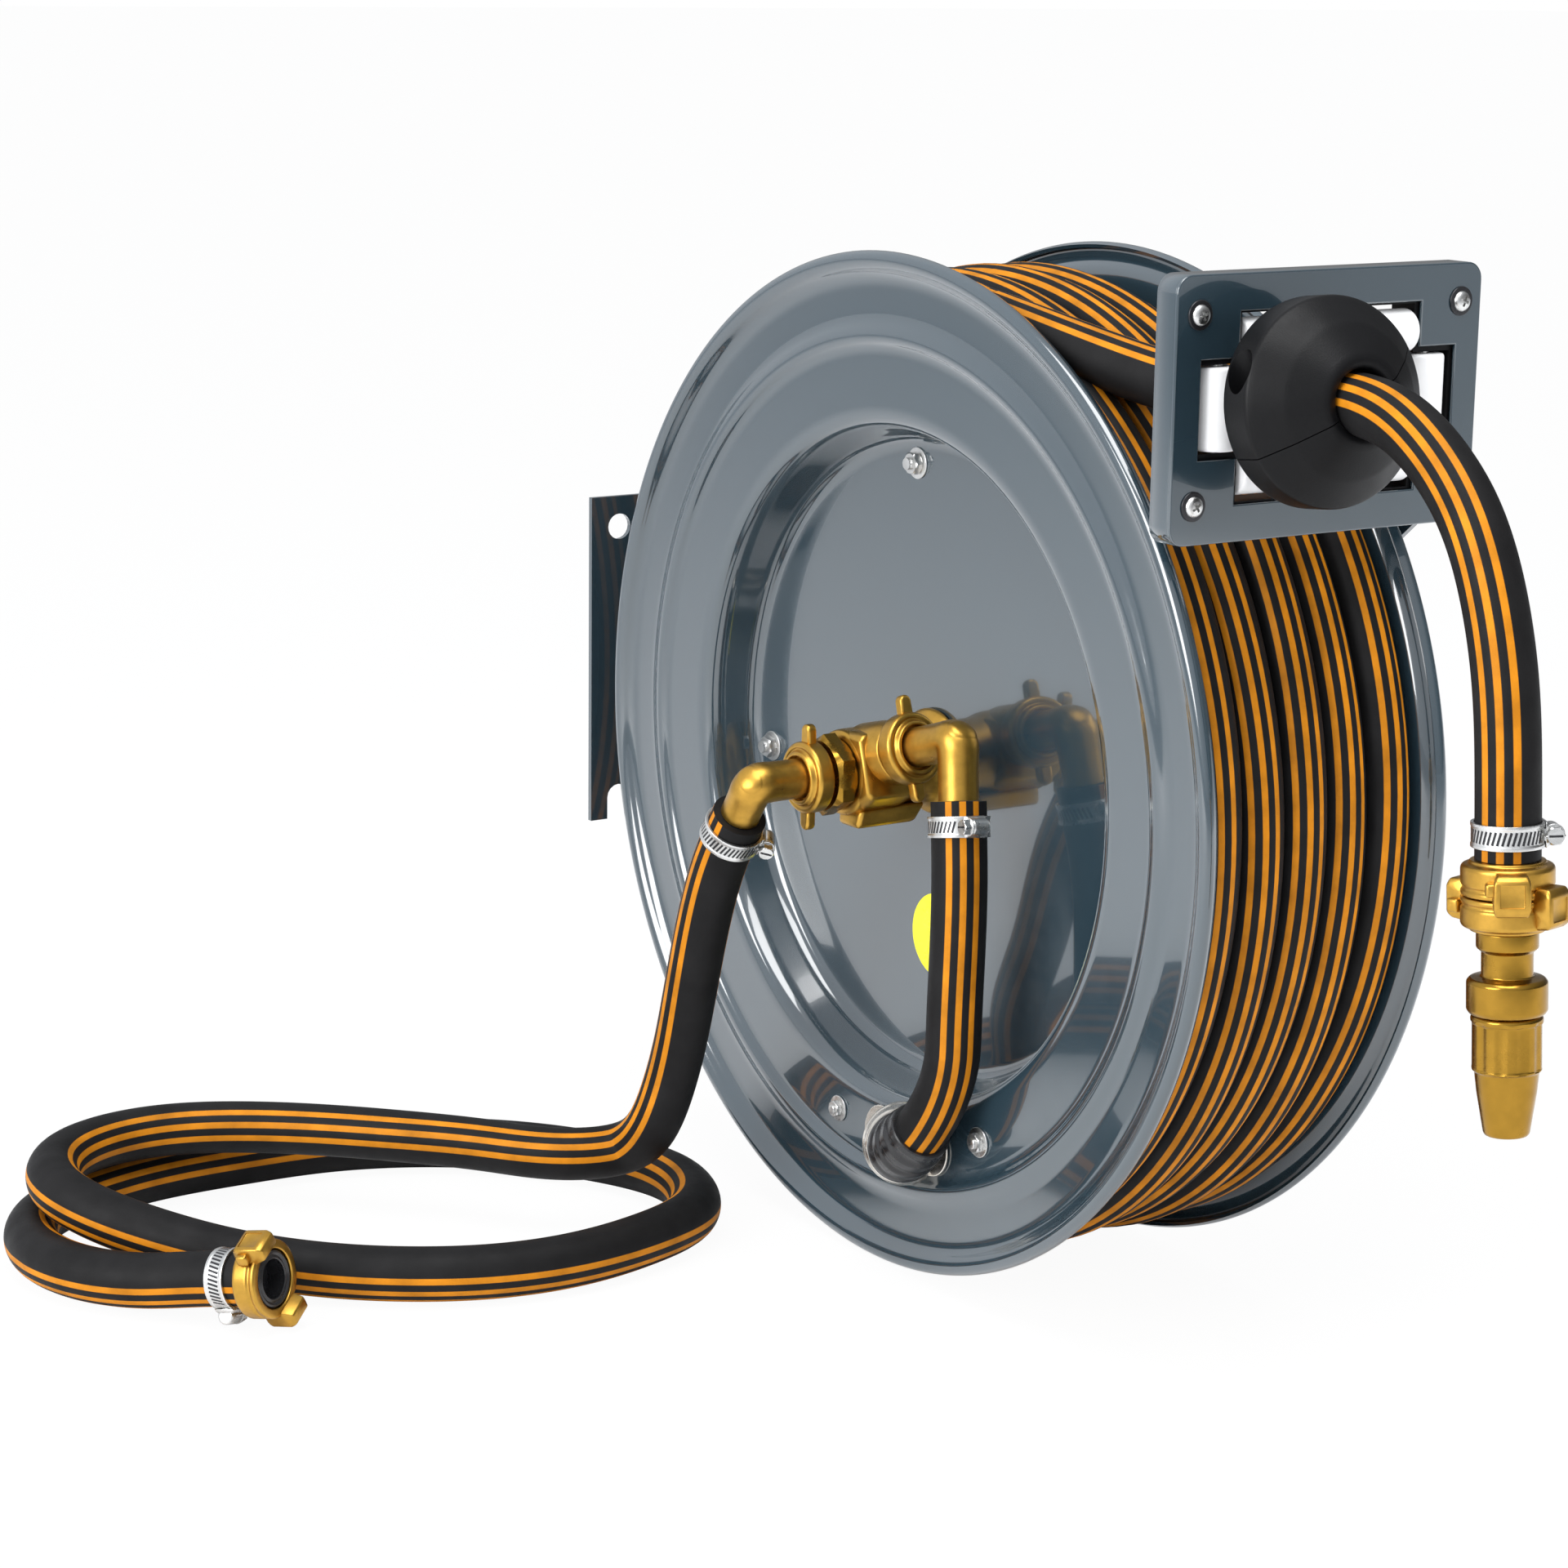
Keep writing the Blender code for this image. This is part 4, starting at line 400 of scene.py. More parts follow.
# The tube is a hair thinner than nominal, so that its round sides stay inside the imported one
SHOWN_RADIUS = HOSE_RADIUS - 0.0002
DROP = [(0.0, 0.0270, -0.0401), (0.0, 0.0430, -0.0760), (0.0, 0.0560, -0.1184)]
LOOP = [
    (-0.0010, -0.2086, 0.0843), (-0.0068, -0.2027, 0.0614), (-0.0127, -0.1832, 0.0435),
    (-0.0369, -0.1721, 0.0410), (-0.0655, -0.1388, 0.0408), (-0.0946, -0.1052, 0.0411),
    (-0.1257, -0.0746, 0.0413), (-0.1592, -0.0481, 0.0413), (-0.1973, -0.0315, 0.0413),
    (-0.2368, -0.0343, 0.0413), (-0.2680, -0.0583, 0.0410), (-0.2768, -0.0882, 0.0385),
    (-0.2678, -0.1147, 0.0330), (-0.2490, -0.1405, 0.0265), (-0.2213, -0.1684, 0.0195),
    (-0.1885, -0.1900, 0.0138), (-0.1544, -0.2177, 0.0135), (-0.1192, -0.2351, 0.0135),
    (-0.0775, -0.2417, 0.0135), (-0.0280, -0.2332, 0.0135), (0.0068, -0.2158, 0.0135),
    (0.0260, -0.1860, 0.0135), (0.0295, -0.1531, 0.0135), (0.0164, -0.1153, 0.0135),
    (-0.0110, -0.0764, 0.0135), (-0.0598, -0.0390, 0.0135), (-0.1007, -0.0240, 0.0135),
    (-0.1459, -0.0191, 0.0135), (-0.1924, -0.0191, 0.0135), (-0.2350, -0.0283, 0.0135),
    (-0.2674, -0.0454, 0.0135), (-0.2865, -0.0708, 0.0135), (-0.2935, -0.1051, 0.0135),
    (-0.2860, -0.1370, 0.0137), (-0.2671, -0.1660, 0.0155), (-0.2486, -0.1874, 0.0195),
    (-0.2340, -0.2091, 0.0237),
]
hose_start = INLET_CORNER + inlet_leg * 0.0213
supply_route = [
    hose_start,
    *[INLET_CORNER + Vector(spot) for spot in DROP],
    *[Vector((INLET_CORNER.x + x, y, FLOOR_Z + z)) for x, y, z in LOOP],
]
supply_line = spline_route(supply_route, 0.004)
supply_hose = swept(
    "supply_hose_run",
    supply_line,
    SHOWN_RADIUS,
    RUBBER,
    (-0.50, -0.62, 0.60),
    turns=[(0.0, 0.09), (0.13, 0.05), (0.22, 0.02), (0.45, -0.02), (0.70, 0.0), (1.0, 0.0)],
)
for vert in supply_hose.data.vertices:
    vert.co.x = max(vert.co.x, cad_low.x + 0.0001)
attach(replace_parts(supply_hose, "supply_hose"), "frame")

# ---------------------------------------------------------------------------------------------
# Free end of the main hose: it leaves the ball and hangs down to its clamp and spray nozzle.
# It is the same striped rubber hose, limp enough to bend over under the brass on its end.
# ---------------------------------------------------------------------------------------------

STOP = Vector((-0.034, -0.54892, 0.20531))
stop_way = Vector((-0.0986, -0.98785, 0.12014)).normalized()
OUTLET_SHAPE = [
    (-0.0040, -0.0475, -0.0008), (-0.0070, -0.0744, -0.0118), (-0.0100, -0.1014, -0.0338),
    (-0.0125, -0.1204, -0.0648), (-0.0135, -0.1309, -0.0998), (-0.0140, -0.1354, -0.1335),
    (-0.0140, -0.1378, -0.1667),
]
outlet_route = [
    STOP + stop_way * 0.0003,
    STOP + stop_way * 0.0120,
    *[STOP + Vector(spot) for spot in OUTLET_SHAPE],
]
outlet_line = spline_route(outlet_route, 0.003)
outlet_hose = swept("outlet_hose_run", outlet_line, SHOWN_RADIUS, RUBBER, (-0.75, -0.20, 0.62))
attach(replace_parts(outlet_hose, "outlet_hose"), "frame")

# ---------------------------------------------------------------------------------------------
# Hose on the drum: the outer layer lies loop by loop over plain inner layers, from rear to front.
# Its last loop runs up through the guide to the ball; a short hose joins the swivel to the drum.
# ---------------------------------------------------------------------------------------------

WINDING_RADIUS = 0.2275
WINDING_HALF = 0.04865
WINDING_TURNS = 5
LEAD_ANGLE = math.radians(82.5)
lead_way = Vector((0, -math.sin(LEAD_ANGLE), -math.cos(LEAD_ANGLE)))
HOSE_ACROSS = 2 * HOSE_RADIUS


def spot_on_drum(radius, angle, x):
    """A point on the drum. Angle 0 points away from the wall and 90 degrees up."""
    return Vector((x, REEL_Y - radius * math.cos(angle), radius * math.sin(angle)))


def eased(share):
    """Goes from 0 to 1 without a corner at either end."""
    share = min(max(share, 0.0), 1.0)
    return share * share * (3 - 2 * share)


def wound_line(per_turn=144):
    """The outer layer: each loop lies flat beside the last and crosses over to the next near the top."""
    column = 2 * WINDING_HALF / (WINDING_TURNS - 1)
    steps = round(WINDING_TURNS * per_turn)
    line = []
    for i in range(steps + 1):
        turned_by = i / per_turn
        loop = math.floor(turned_by + 1e-9)
        crossing = eased((turned_by - loop - 0.80) / 0.20) if loop < WINDING_TURNS - 1 else 0.0
        x = WINDING_HALF - (min(loop, WINDING_TURNS - 1) + crossing) * column
        rise = eased(turned_by / 0.12)
        radius = WINDING_RADIUS - 0.0230 * (1 - rise)
        radius += 0.0012 * math.sin(turned_by * 9.7) * rise * eased((WINDING_TURNS - turned_by) * 3)
        line.append(spot_on_drum(radius, LEAD_ANGLE + (WINDING_TURNS - turned_by) * 2 * math.pi, x))
    return line


winding_line = wound_line()
winding_line += even_points([winding_line[-1], winding_line[-1] + lead_way * HOSE_ACROSS], 0.006)[1:]
winding_hose = swept(
    "wound_hose",
    winding_line,
    SHOWN_RADIUS,
    RUBBER,
    spot_on_drum(1, LEAD_ANGLE, 0) - Vector((0, REEL_Y, 0)),
    sides=32,
    turns=[(i / 16, 0.045 * math.sin(i * 2.1) - 0.02) for i in range(17)],
    squeeze=[(0, 0.93), (0.96, 0.93), (1, 1)],
)
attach(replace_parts(winding_hose, "hose_winding"), "drum")

lead_start = spot_on_drum(WINDING_RADIUS, LEAD_ANGLE, -WINDING_HALF) + lead_way * (HOSE_ACROSS + 0.0003)
lead_end = STOP - stop_way * 0.0003
lead_bend = bend_between(lead_start + lead_way * HOSE_ACROSS, lead_way, lead_end - stop_way * 0.0320,
                         stop_way, (0.050, 0.050), 40)
lead_line = even_points([lead_start, *lead_bend, lead_end], 0.004)
lead_hose = swept("hose_lead_run", lead_line, SHOWN_RADIUS, RUBBER,
                  spot_on_drum(1, LEAD_ANGLE, 0) - Vector((0, REEL_Y, 0)),
                  turns=[(0, 0.045 * math.sin(33.6) - 0.02), (1, 0.06)])
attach(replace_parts(lead_hose, "hose_lead"), "frame")

outlet_leg = Vector((-0.10, -0.20, -0.97)).normalized()
OUTLET_PORT = Vector((-0.0770, REEL_Y, 0.0060))
outlet_port_way = Vector((0.111, -0.948, 0.296)).normalized()
OUTLET_CORNER = OUTLET_PORT + outlet_port_way * 0.0675
GROMMET_ANGLE = math.radians(277.1)
GROMMET_RADIUS = 0.1867
BAND_FACE = 0.0640
grommet_spot = spot_on_drum(GROMMET_RADIUS, GROMMET_ANGLE, -BAND_FACE - 0.0015)
entry_way = Vector((0.62, 0.76, -0.19)).normalized()
entry_start = grommet_spot - entry_way * 0.0150
entry_end = grommet_spot + entry_way * 0.0200
hose_top = OUTLET_CORNER + outlet_leg * 0.0293
fall_end = entry_start + Vector((-0.0045, -0.0453, 0.0650))
fall_way = Vector((-0.02, -0.02, -1)).normalized()
connecting_line = even_points(
    [
        hose_top,
        *bend_between(hose_top + outlet_leg * HOSE_ACROSS, outlet_leg, fall_end, fall_way, (0.03, 0.03), 24),
        *bend_between(fall_end, fall_way, entry_start, entry_way, (0.035, 0.022), 24)[1:],
        entry_end,
    ],
    0.003,
)
connecting_hose = swept("connecting_hose_run", connecting_line, SHOWN_RADIUS, RUBBER, (-0.30, -0.95, 0),
                        turns=[(0, 0.03), (1, 0.03)])
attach(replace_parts(connecting_hose, "connecting_hose"), "drum")

# ---------------------------------------------------------------------------------------------
# Frame: a folded wall plate with two holes and two open slots, the support arm and the guide arm.
# Each is 3 mm steel sheet, cut and bent, stove-enamelled blue-grey, and joined by zinc-plated bolts.
# ---------------------------------------------------------------------------------------------

PAINT = finish("blue_grey_enamel", (0.020, 0.037, 0.049, 1), 0.04, 7.0, 0.12, 0.20, 160.0, 0.010,
               Specular_IOR_Level=0.6, Coat_Weight=1.0, Coat_Roughness=0.03, Coat_IOR=1.7)
STEEL = finish("zinc_plate", (0.60, 0.60, 0.59, 1), 0.12, 160.0, 0.20, 0.38, 2600.0, 0.06, Metallic=1.0)
# Near-black steel: the guide washers' own colour, and also painted shade in the clamp slots, the clamp screw's slot
# and the coupling bore.
DARK_STEEL_AND_SHADE = finish("blackened_steel_and_painted_shade", (0.030, 0.030, 0.033, 1), 0.15, 120.0, 0.20, 0.38, 1600.0, 0.06,
                    Metallic=0.6)
BRASS = finish("cast_brass", (0.46, 0.262, 0.047, 1), 0.10, 260.0, 0.26, 0.40, 2400.0, 0.11, Metallic=1.0)
# Turned brass is a darker copy of the cast brass: partly its own finish, partly painted shade that dims the
# lamp-facing nozzle and nipple.
TURNED_BRASS_SHADED = finish("turned_brass_with_painted_shade", (0.31, 0.172, 0.025, 1), 0.08, 150.0, 0.17, 0.30, 3000.0, 0.05, Metallic=1.0)
BLACK = finish("black_plastic", (0.0045, 0.0045, 0.005, 1), 0.15, 50.0, 0.34, 0.46, 1500.0, 0.16,
               Specular_IOR_Level=0.14)
SOFT_BLACK = finish("black_rubber", (0.010, 0.010, 0.011, 1), 0.15, 80.0, 0.20, 0.36, 900.0, 0.05)
WHITE = finish("white_nylon", (0.78, 0.78, 0.78, 1), 0.03, 70.0, 0.30, 0.45, 1200.0, 0.05)


def show_node(node, material, bevel=0.0006):
    """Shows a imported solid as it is, with its finish and slightly broken edges."""
    piece = bpy.data.objects[node]
    piece.data.materials.clear()
    piece.data.materials.append(material)
    if bevel:
        edge = piece.modifiers.new("broken_edges", "BEVEL")
        edge.width = bevel
        edge.segments = 2
        edge.limit_method = "ANGLE"
        edge.angle_limit = math.radians(40)
        edge.harden_normals = True
    return piece


for node in ("wall_plate", "support_arm", "guide_arm"):
    show_node(node, PAINT, 0.0008)
for node in ("arm_bolt_1", "arm_bolt_2", "guide_arm_bolt", "guide_tab_bolt", "shaft_nut"):
    show_node(node, STEEL, 0.0007)

# ---------------------------------------------------------------------------------------------
# Inside the drum: the fixed shaft, its bushes, the flat spiral spring in its case, and the ratchet.
# They are turned and stamped steel parts that carry the drum and pull it back round.
# ---------------------------------------------------------------------------------------------

for node in ("main_shaft", "spring_case", "rewind_spring", "ratchet_wheel", "ratchet_pawl", "pawl_pin"):
    show_node(node, STEEL, 0.0)
for node in ("front_bush", "rear_bush"):
    show_node(node, BLACK, 0.0)
show_node("drum_core", PAINT, 0.0)

# ---------------------------------------------------------------------------------------------
# Drum flanges: two discs pressed from 1.8 mm sheet, each with a rolled rim, a raised bead, a deep
# bowl and a flat hub plate, and enamelled. Four nuts on studs hold the front one; it has a label.
# ---------------------------------------------------------------------------------------------

HALF_SPREAD = 0.0675
FLANGE_RADIUS = 0.250
BOWL_RADIUS = 0.165
HUB_FACE = 0.036
HUB_BORE = 0.0255
SHEET = 0.0018


def soften(profile, amount, steps=4):
    """A profile of points with each corner rounded by up to the given amount."""
    made = [Vector(profile[0])]
    for before, corner, after in zip(profile, profile[1:], profile[2:]):
        corner = Vector(corner)
        to_before = Vector(before) - corner
        to_after = Vector(after) - corner
        start = corner + to_before.normalized() * min(amount, to_before.length * 0.46)
        end = corner + to_after.normalized() * min(amount, to_after.length * 0.46)
        for i in range(steps + 1):
            t = i / steps
            made.append(start.lerp(corner, t).lerp(corner.lerp(end, t), t))
    return [*made, Vector(profile[-1])]


def turn_to(way, up=None):
    """The rotation that takes Z to way, and X as near as it can to up."""
    way = Vector(way).normalized()
    if up is None:
        up = AXIS_Z if abs(way.z) < 0.9 else AXIS_X
    up = (Vector(up) - way * way.dot(Vector(up))).normalized()
    return Matrix((up, way.cross(up), way)).transposed()


def turned(name, profile, origin, way, material, steps=96, closed=False, angle=35):
    """A profile of (radius, height) points turned round an axis, as on a lathe."""
    turn = turn_to(way)
    origin = Vector(origin)
    profile = [Vector(p) for p in profile]
    if closed:
        profile.append(profile[0].copy())
    bm = bmesh.new()
    rings = []
    for radius, height in profile:
        if radius < 1e-6:
            rings.append([bm.verts.new(origin + turn @ Vector((0, 0, height)))] * steps)
            continue
        ring = []
        for k in range(steps):
            a = 2 * math.pi * k / steps
            ring.append(bm.verts.new(origin + turn @ Vector((radius * math.cos(a), radius * math.sin(a), height))))
        rings.append(ring)
    if closed:
        for vert in rings[-1]:
            bm.verts.remove(vert)
        rings[-1] = rings[0]
    join_rings(bm, rings)
    return built_piece(bm, name, material, angle)


def thick_profile(outer, thickness):
    """The outer line of a sheet and its other side, as one closed profile."""
    ways = [(b - a).normalized() for a, b in zip(outer, outer[1:])]
    ways = [ways[0], *[(a + b).normalized() for a, b in zip(ways, ways[1:])], ways[-1]]
    inner = [p + Vector((way.y, -way.x)) * thickness for p, way in zip(outer, ways)]
    return outer + inner[::-1]


lip = BOWL_RADIUS
rim = FLANGE_RADIUS
face = HALF_SPREAD
FLANGE_LINE = [
    (HUB_BORE, HUB_FACE), (lip - 0.0090, HUB_FACE), (lip - 0.0050, HUB_FACE + 0.0036),
    (lip - 0.0008, face - 0.0105), (lip + 0.0016, face - 0.0055), (lip + 0.0065, BAND_FACE),
    (rim - 0.0467, BAND_FACE), (rim - 0.0431, face - 0.0004), (rim - 0.0391, face - 0.0004),
    (rim - 0.0330, face - 0.0030), (rim - 0.0150, face - 0.0030), (rim - 0.0112, face - 0.0010),
    (rim - 0.0085, face + 0.0024), (rim - 0.0050, face + 0.0040), (rim - 0.0016, face + 0.0030),
    (rim - 0.0001, face), (rim - 0.0018, face - 0.0034),
]
flange_line = soften(FLANGE_LINE, 0.0042, 5)
for name, node, outward in (("front_disc", "front_flange", -AXIS_X), ("rear_disc", "rear_flange", AXIS_X)):
    disc = turned(name, thick_profile(flange_line, SHEET), (0, REEL_Y, 0), outward, PAINT, 240, closed=True, angle=60)
    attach(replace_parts(disc, node), "drum")


def hexagon(name, start, way, across_corners, thickness, material, up=AXIS_Z, chamfer=0.12, sides=6):
    """A hexagonal prism with its corners turned down at both ends, as on a nut or a bolt head."""
    turn = turn_to(way, up)
    flat = across_corners * math.cos(math.pi / sides)
    steps = sides * 12
    bm = bmesh.new()
    rings = []
    rise = (across_corners - flat) * 0.75
    for height, limit in ((0, flat * (1 - chamfer * 0.2)), (rise, across_corners), (thickness - rise, across_corners),
                          (thickness, flat * (1 - chamfer * 0.2))):
        ring = []
        for k in range(steps):
            a = 2 * math.pi * k / steps
            from_flat = (a + math.pi / sides) % (2 * math.pi / sides) - math.pi / sides
            radius = min(flat / math.cos(math.pi / sides - abs(from_flat)), limit)
            ring.append(bm.verts.new(Vector(start) + turn @ Vector((radius * math.cos(a), radius * math.sin(a),
                                                                    height))))
        rings.append(ring)
    join_rings(bm, rings)
    bm.faces.new(rings[0][::-1])
    bm.faces.new(rings[-1])
    return built_piece(bm, name, material, 20)


def arc_points(centre, radius, count, start, sweep):
    return [(centre[0] + radius * math.cos(start + sweep * i / (count - 1)),
             centre[1] + radius * math.sin(start + sweep * i / (count - 1))) for i in range(count)]


def pressed(name, outlines, thickness, rounding, origin, across, up, material, angle=35):
    """Flat outlines (the first is the edge, the others holes) given thickness and rounded edges."""
    curve = bpy.data.curves.new(name, "CURVE")
    curve.dimensions = "2D"
    curve.fill_mode = "BOTH"
    curve.bevel_depth = rounding
    curve.bevel_resolution = 3
    curve.offset = -rounding
    curve.extrude = thickness / 2 - rounding
    for outline in outlines:
        spline = curve.splines.new("POLY")
        spline.points.add(len(outline) - 1)
        for point, spot in zip(spline.points, outline):
            point.co = (spot[0], spot[1], 0, 1)
        spline.use_cyclic_u = True
    flat = bpy.data.objects.new(name, curve)
    bpy.context.scene.collection.objects.link(flat)
    across, up = Vector(across), Vector(up)
    turn = Matrix((across, up, across.cross(up))).transposed()
    flat.matrix_world = Matrix.Translation(Vector(origin)) @ turn.to_4x4()
    bpy.context.view_layer.update()
    mesh = bpy.data.meshes.new_from_object(flat.evaluated_get(bpy.context.evaluated_depsgraph_get()))
    mesh.transform(flat.matrix_world)
    bpy.data.objects.remove(flat)
    return add_piece(name, mesh, material, angle)


def threaded(radius, start, end, pitch=0.0015, depth=0.0006):
    """The profile of a threaded length: close ridges between two heights."""
    line = []
    height = start
    while height < end - pitch * 0.6:
        line += [(radius - depth, height + pitch * 0.10), (radius, height + pitch * 0.42),
                 (radius, height + pitch * 0.58),
                 (radius - depth, height + pitch * 0.90)]
        height += pitch
    return line


HUB_BOLT_CIRCLE = 0.146
for index in range(4):
    angle = math.radians(97.7) + index * math.pi / 2
    spot = spot_on_drum(HUB_BOLT_CIRCLE, angle, -HUB_FACE)
    washer = turned(f"hub_washer_{index}", soften([(0.003, 0), (0.0078, 0), (0.0078, 0.0008), (0.003, 0.0008)],
                                                  0.0003),
                    spot, -AXIS_X, STEEL, 48)
    nut = hexagon(f"hub_nut_{index}", spot - AXIS_X * 0.0008, -AXIS_X, 0.0058, 0.0042, STEEL,
                  up=Vector((0, 1, 0.3 * index)))
    stud = turned(f"hub_stud_{index}", [(0.0024, 0), *threaded(0.003, 0.0045, 0.0066, 0.0007, 0.0003),
                                        (0.0022, 0.0068),
                                        (0, 0.0070)], spot, -AXIS_X, STEEL, 32)
    for piece in (washer, nut, stud):
        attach(piece, "drum")
show_node("hub_bolt_ring", STEEL, 0.0)

LABEL_YELLOW = finish("yellow_vinyl", (0.86, 0.80, 0.012, 1), 0.03, 40.0, 0.24, 0.36, 900.0, 0.03)
LABEL_RADIUS = 0.0212
label_spot = Vector((-HUB_FACE, REEL_Y - 0.0057, -0.0879))
label = turned("round_label", soften([(0, 0.00015), (LABEL_RADIUS, 0.00015), (LABEL_RADIUS, 0)], 0.0001),
               label_spot, -AXIS_X, LABEL_YELLOW, 96)
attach(label, "drum")

# ---------------------------------------------------------------------------------------------
# Inner layers of hose under the outer one: the same striped rubber hose, laid in close rings round
# the core. Only their backs show, as a bed between the outer loops.
# ---------------------------------------------------------------------------------------------

for loop in range(4):
    x = (loop - 1.5) * 0.0278
    ring_line = [spot_on_drum(0.2035, 2 * math.pi * k / 120, x) for k in range(121)]
    ring = swept(f"inner_loop_{loop}", ring_line, 0.0131, RUBBER, (0, -1, 0), sides=20,
                 turns=[(0, 0.03 * loop), (1, 0.03 * loop)])
    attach(ring, "drum")
    if loop == 0:
        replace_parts(ring, "hose_inner_layers")

# ---------------------------------------------------------------------------------------------
# Brass water fittings: a cast swivel body on the hub, a big hexagonal nipple that stays still with
# the inlet elbow, and the outlet elbow. Two eared union nuts draw the elbows onto their threads.
# ---------------------------------------------------------------------------------------------


def bar(name, centre, size, way, up, material, bevel, segments=3, narrow=1.0):
    """A box about its centre with rounded edges. Its size is along up, across, and along way."""
    turn = turn_to(way, up)
    bm = bmesh.new()
    bmesh.ops.create_cube(bm, size=1)
    for vert in bm.verts:
        share = narrow if vert.co.x > 0 else 1.0
        vert.co = Vector((vert.co.x * size[0], vert.co.y * size[1] * share, vert.co.z * size[2] * share))
    bmesh.ops.bevel(bm, geom=bm.edges[:], offset=bevel, segments=segments, profile=0.5, affect="EDGES",
                    clamp_overlap=True)
    bmesh.ops.transform(bm, matrix=Matrix.Translation(Vector(centre)) @ turn.to_4x4(), verts=bm.verts)
    return built_piece(bm, name, material, 40)


def riding(body, slot, *made):
    """Puts pieces on a body. The slot argument, the record's material slot, is not used."""
    for piece in made:
        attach(piece, body)


def hull_of(name, spots, material, bevel, segments=4):
    """A casting made as the shell round some points, with its edges rounded."""
    bm = bmesh.new()
    made = bmesh.ops.convex_hull(bm, input=[bm.verts.new(Vector(spot)) for spot in spots])
    loose = [v for v in made["geom_interior"] + made["geom_unused"] if isinstance(v, bmesh.types.BMVert)]
    bmesh.ops.delete(bm, geom=loose, context="VERTS")
    bmesh.ops.dissolve_limit(bm, angle_limit=math.radians(4), verts=bm.verts, edges=bm.edges)
    bmesh.ops.bevel(bm, geom=bm.edges[:], offset=bevel, segments=segments, profile=0.5, affect="EDGES",
                    clamp_overlap=True)
    return built_piece(bm, name, material, 50)


PIPE_RADIUS = 0.0098
THREAD_RADIUS = 0.0130
BODY_FRONT = 0.0935
BODY_BACK = HUB_FACE + 0.0003
swivel_base = turned(
    "swivel_base",
    soften(
        [
            (0.0135, BODY_BACK), (0.0262, BODY_BACK), (0.0262, BODY_BACK + 0.0034),
            (0.0215, BODY_BACK + 0.0060), (0.0185, BODY_BACK + 0.0110), (0.0190, BODY_FRONT - 0.0330),
            (0.0212, BODY_FRONT - 0.0270), (0.0212, BODY_FRONT - 0.0030), (0.0200, BODY_FRONT - 0.0004),
            (0.0110, BODY_FRONT - 0.0004),
        ],
        0.0035,
        5,
    ),
    (0, REEL_Y, 0),
    -AXIS_X,
    BRASS,
)
port_side = outlet_port_way.cross(AXIS_X).normalized()
body_spots = []
for share, half in ((-0.0165, 0.0185), (0.0, 0.0205), (0.0120, 0.0190), (0.0215, 0.0158)):
    for x, narrow in ((-BODY_FRONT + 0.0008, 0.86), (-BODY_FRONT + 0.0045, 1.0), (-BODY_FRONT + 0.0250, 1.0),
                      (-BODY_FRONT + 0.0330, 0.86)):
        for side in (-1, 1):
            spot = Vector((0, REEL_Y, 0)) + outlet_port_way * share + port_side * side * half * narrow
            body_spots.append((x, spot.y, spot.z))
cast_block = hull_of("body_block", body_spots, BRASS, 0.0030)
port_boss = turned(
    "port_boss",
    soften([(0.0100, 0.0), (0.0168, 0.0), (0.0160, 0.0180), (0.0150, 0.0240), (0.0146, 0.0262),
            (0.0100, 0.0262)], 0.003, 5),
    OUTLET_PORT,
    outlet_port_way,
    BRASS,
)
port_thread = turned(
    "port_thread",
    [(0.0118, 0.0240), *threaded(THREAD_RADIUS, 0.0255, 0.0348), (0.0105, 0.0350)],
    OUTLET_PORT,
    outlet_port_way,
    TURNED_BRASS_SHADED,
)
foot_rib = hull_of(
    "body_foot",
    [(x, REEL_Y + y, z) for x, z, half in ((-0.0890, -0.0165, 0.0100), (-0.0905, -0.0262, 0.0085),
                                           (-0.0560, -0.0262, 0.0085), (-0.0500, -0.0165, 0.0100))
     for y in (-half - 0.004, half - 0.004)],
    BRASS, 0.0026,
)
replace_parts(swivel_base, "swivel_body")
riding("drum", "brass", swivel_base, cast_block, port_boss, port_thread, foot_rib)

nipple_front = -(BODY_FRONT + 0.0003)
THREAD_END = nipple_front - 0.0192
nipple_hex = hexagon("nipple_hex", (nipple_front, REEL_Y, 0), -AXIS_X, 0.0202, 0.0107, TURNED_BRASS_SHADED, up=AXIS_Z)
nipple_thread = turned(
    "nipple_thread",
    [(0.0118, 0.0095), *threaded(THREAD_RADIUS, 0.0112, 0.0190), (0.0100, 0.0192)],
    (nipple_front, REEL_Y, 0),
    -AXIS_X,
    TURNED_BRASS_SHADED,
)
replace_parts(nipple_hex, "swivel_nipple")
riding("frame", "brass", nipple_hex, nipple_thread)


def eared_nut(node, start, way, ear_way, cover):
    """A union nut: a wide ring stepped down to the pipe, with two tabs whose ends are rounded."""
    length = 0.0112
    ring = turned(
        node + "_ring",
        soften(
            [
                (THREAD_RADIUS + 0.0004, 0.0), (0.0164, 0.0), (0.0174, 0.0010), (0.0174, 0.0078),
                (0.0164, 0.0090), (0.0150, 0.0092), (0.0140, 0.0084), (0.0132, 0.0092),
                (0.0126, length), (PIPE_RADIUS + 0.0010, length), (PIPE_RADIUS + 0.0010, cover),
            ],
            0.0010,
        ),
        start,
        way,
        BRASS,
    )
    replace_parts(ring, node)
    made = [ring]
    middle = Vector(start) + way * 0.0044
    for number, side in enumerate((1, -1)):
        tab_side = way.cross(ear_way) * side
        outline = [(-0.0036, 0.0150), (0.0036, 0.0150), (0.0034, 0.0215)]
        outline += arc_points((0, 0.0226), 0.0034, 15, 0.0, math.pi) + [(-0.0034, 0.0215)]
        tab = pressed(f"{node}_tab_{number}", [outline], 0.0052, 0.0014, middle, tab_side, ear_way * side, BRASS, 50)
        made.append(tab)
    return made


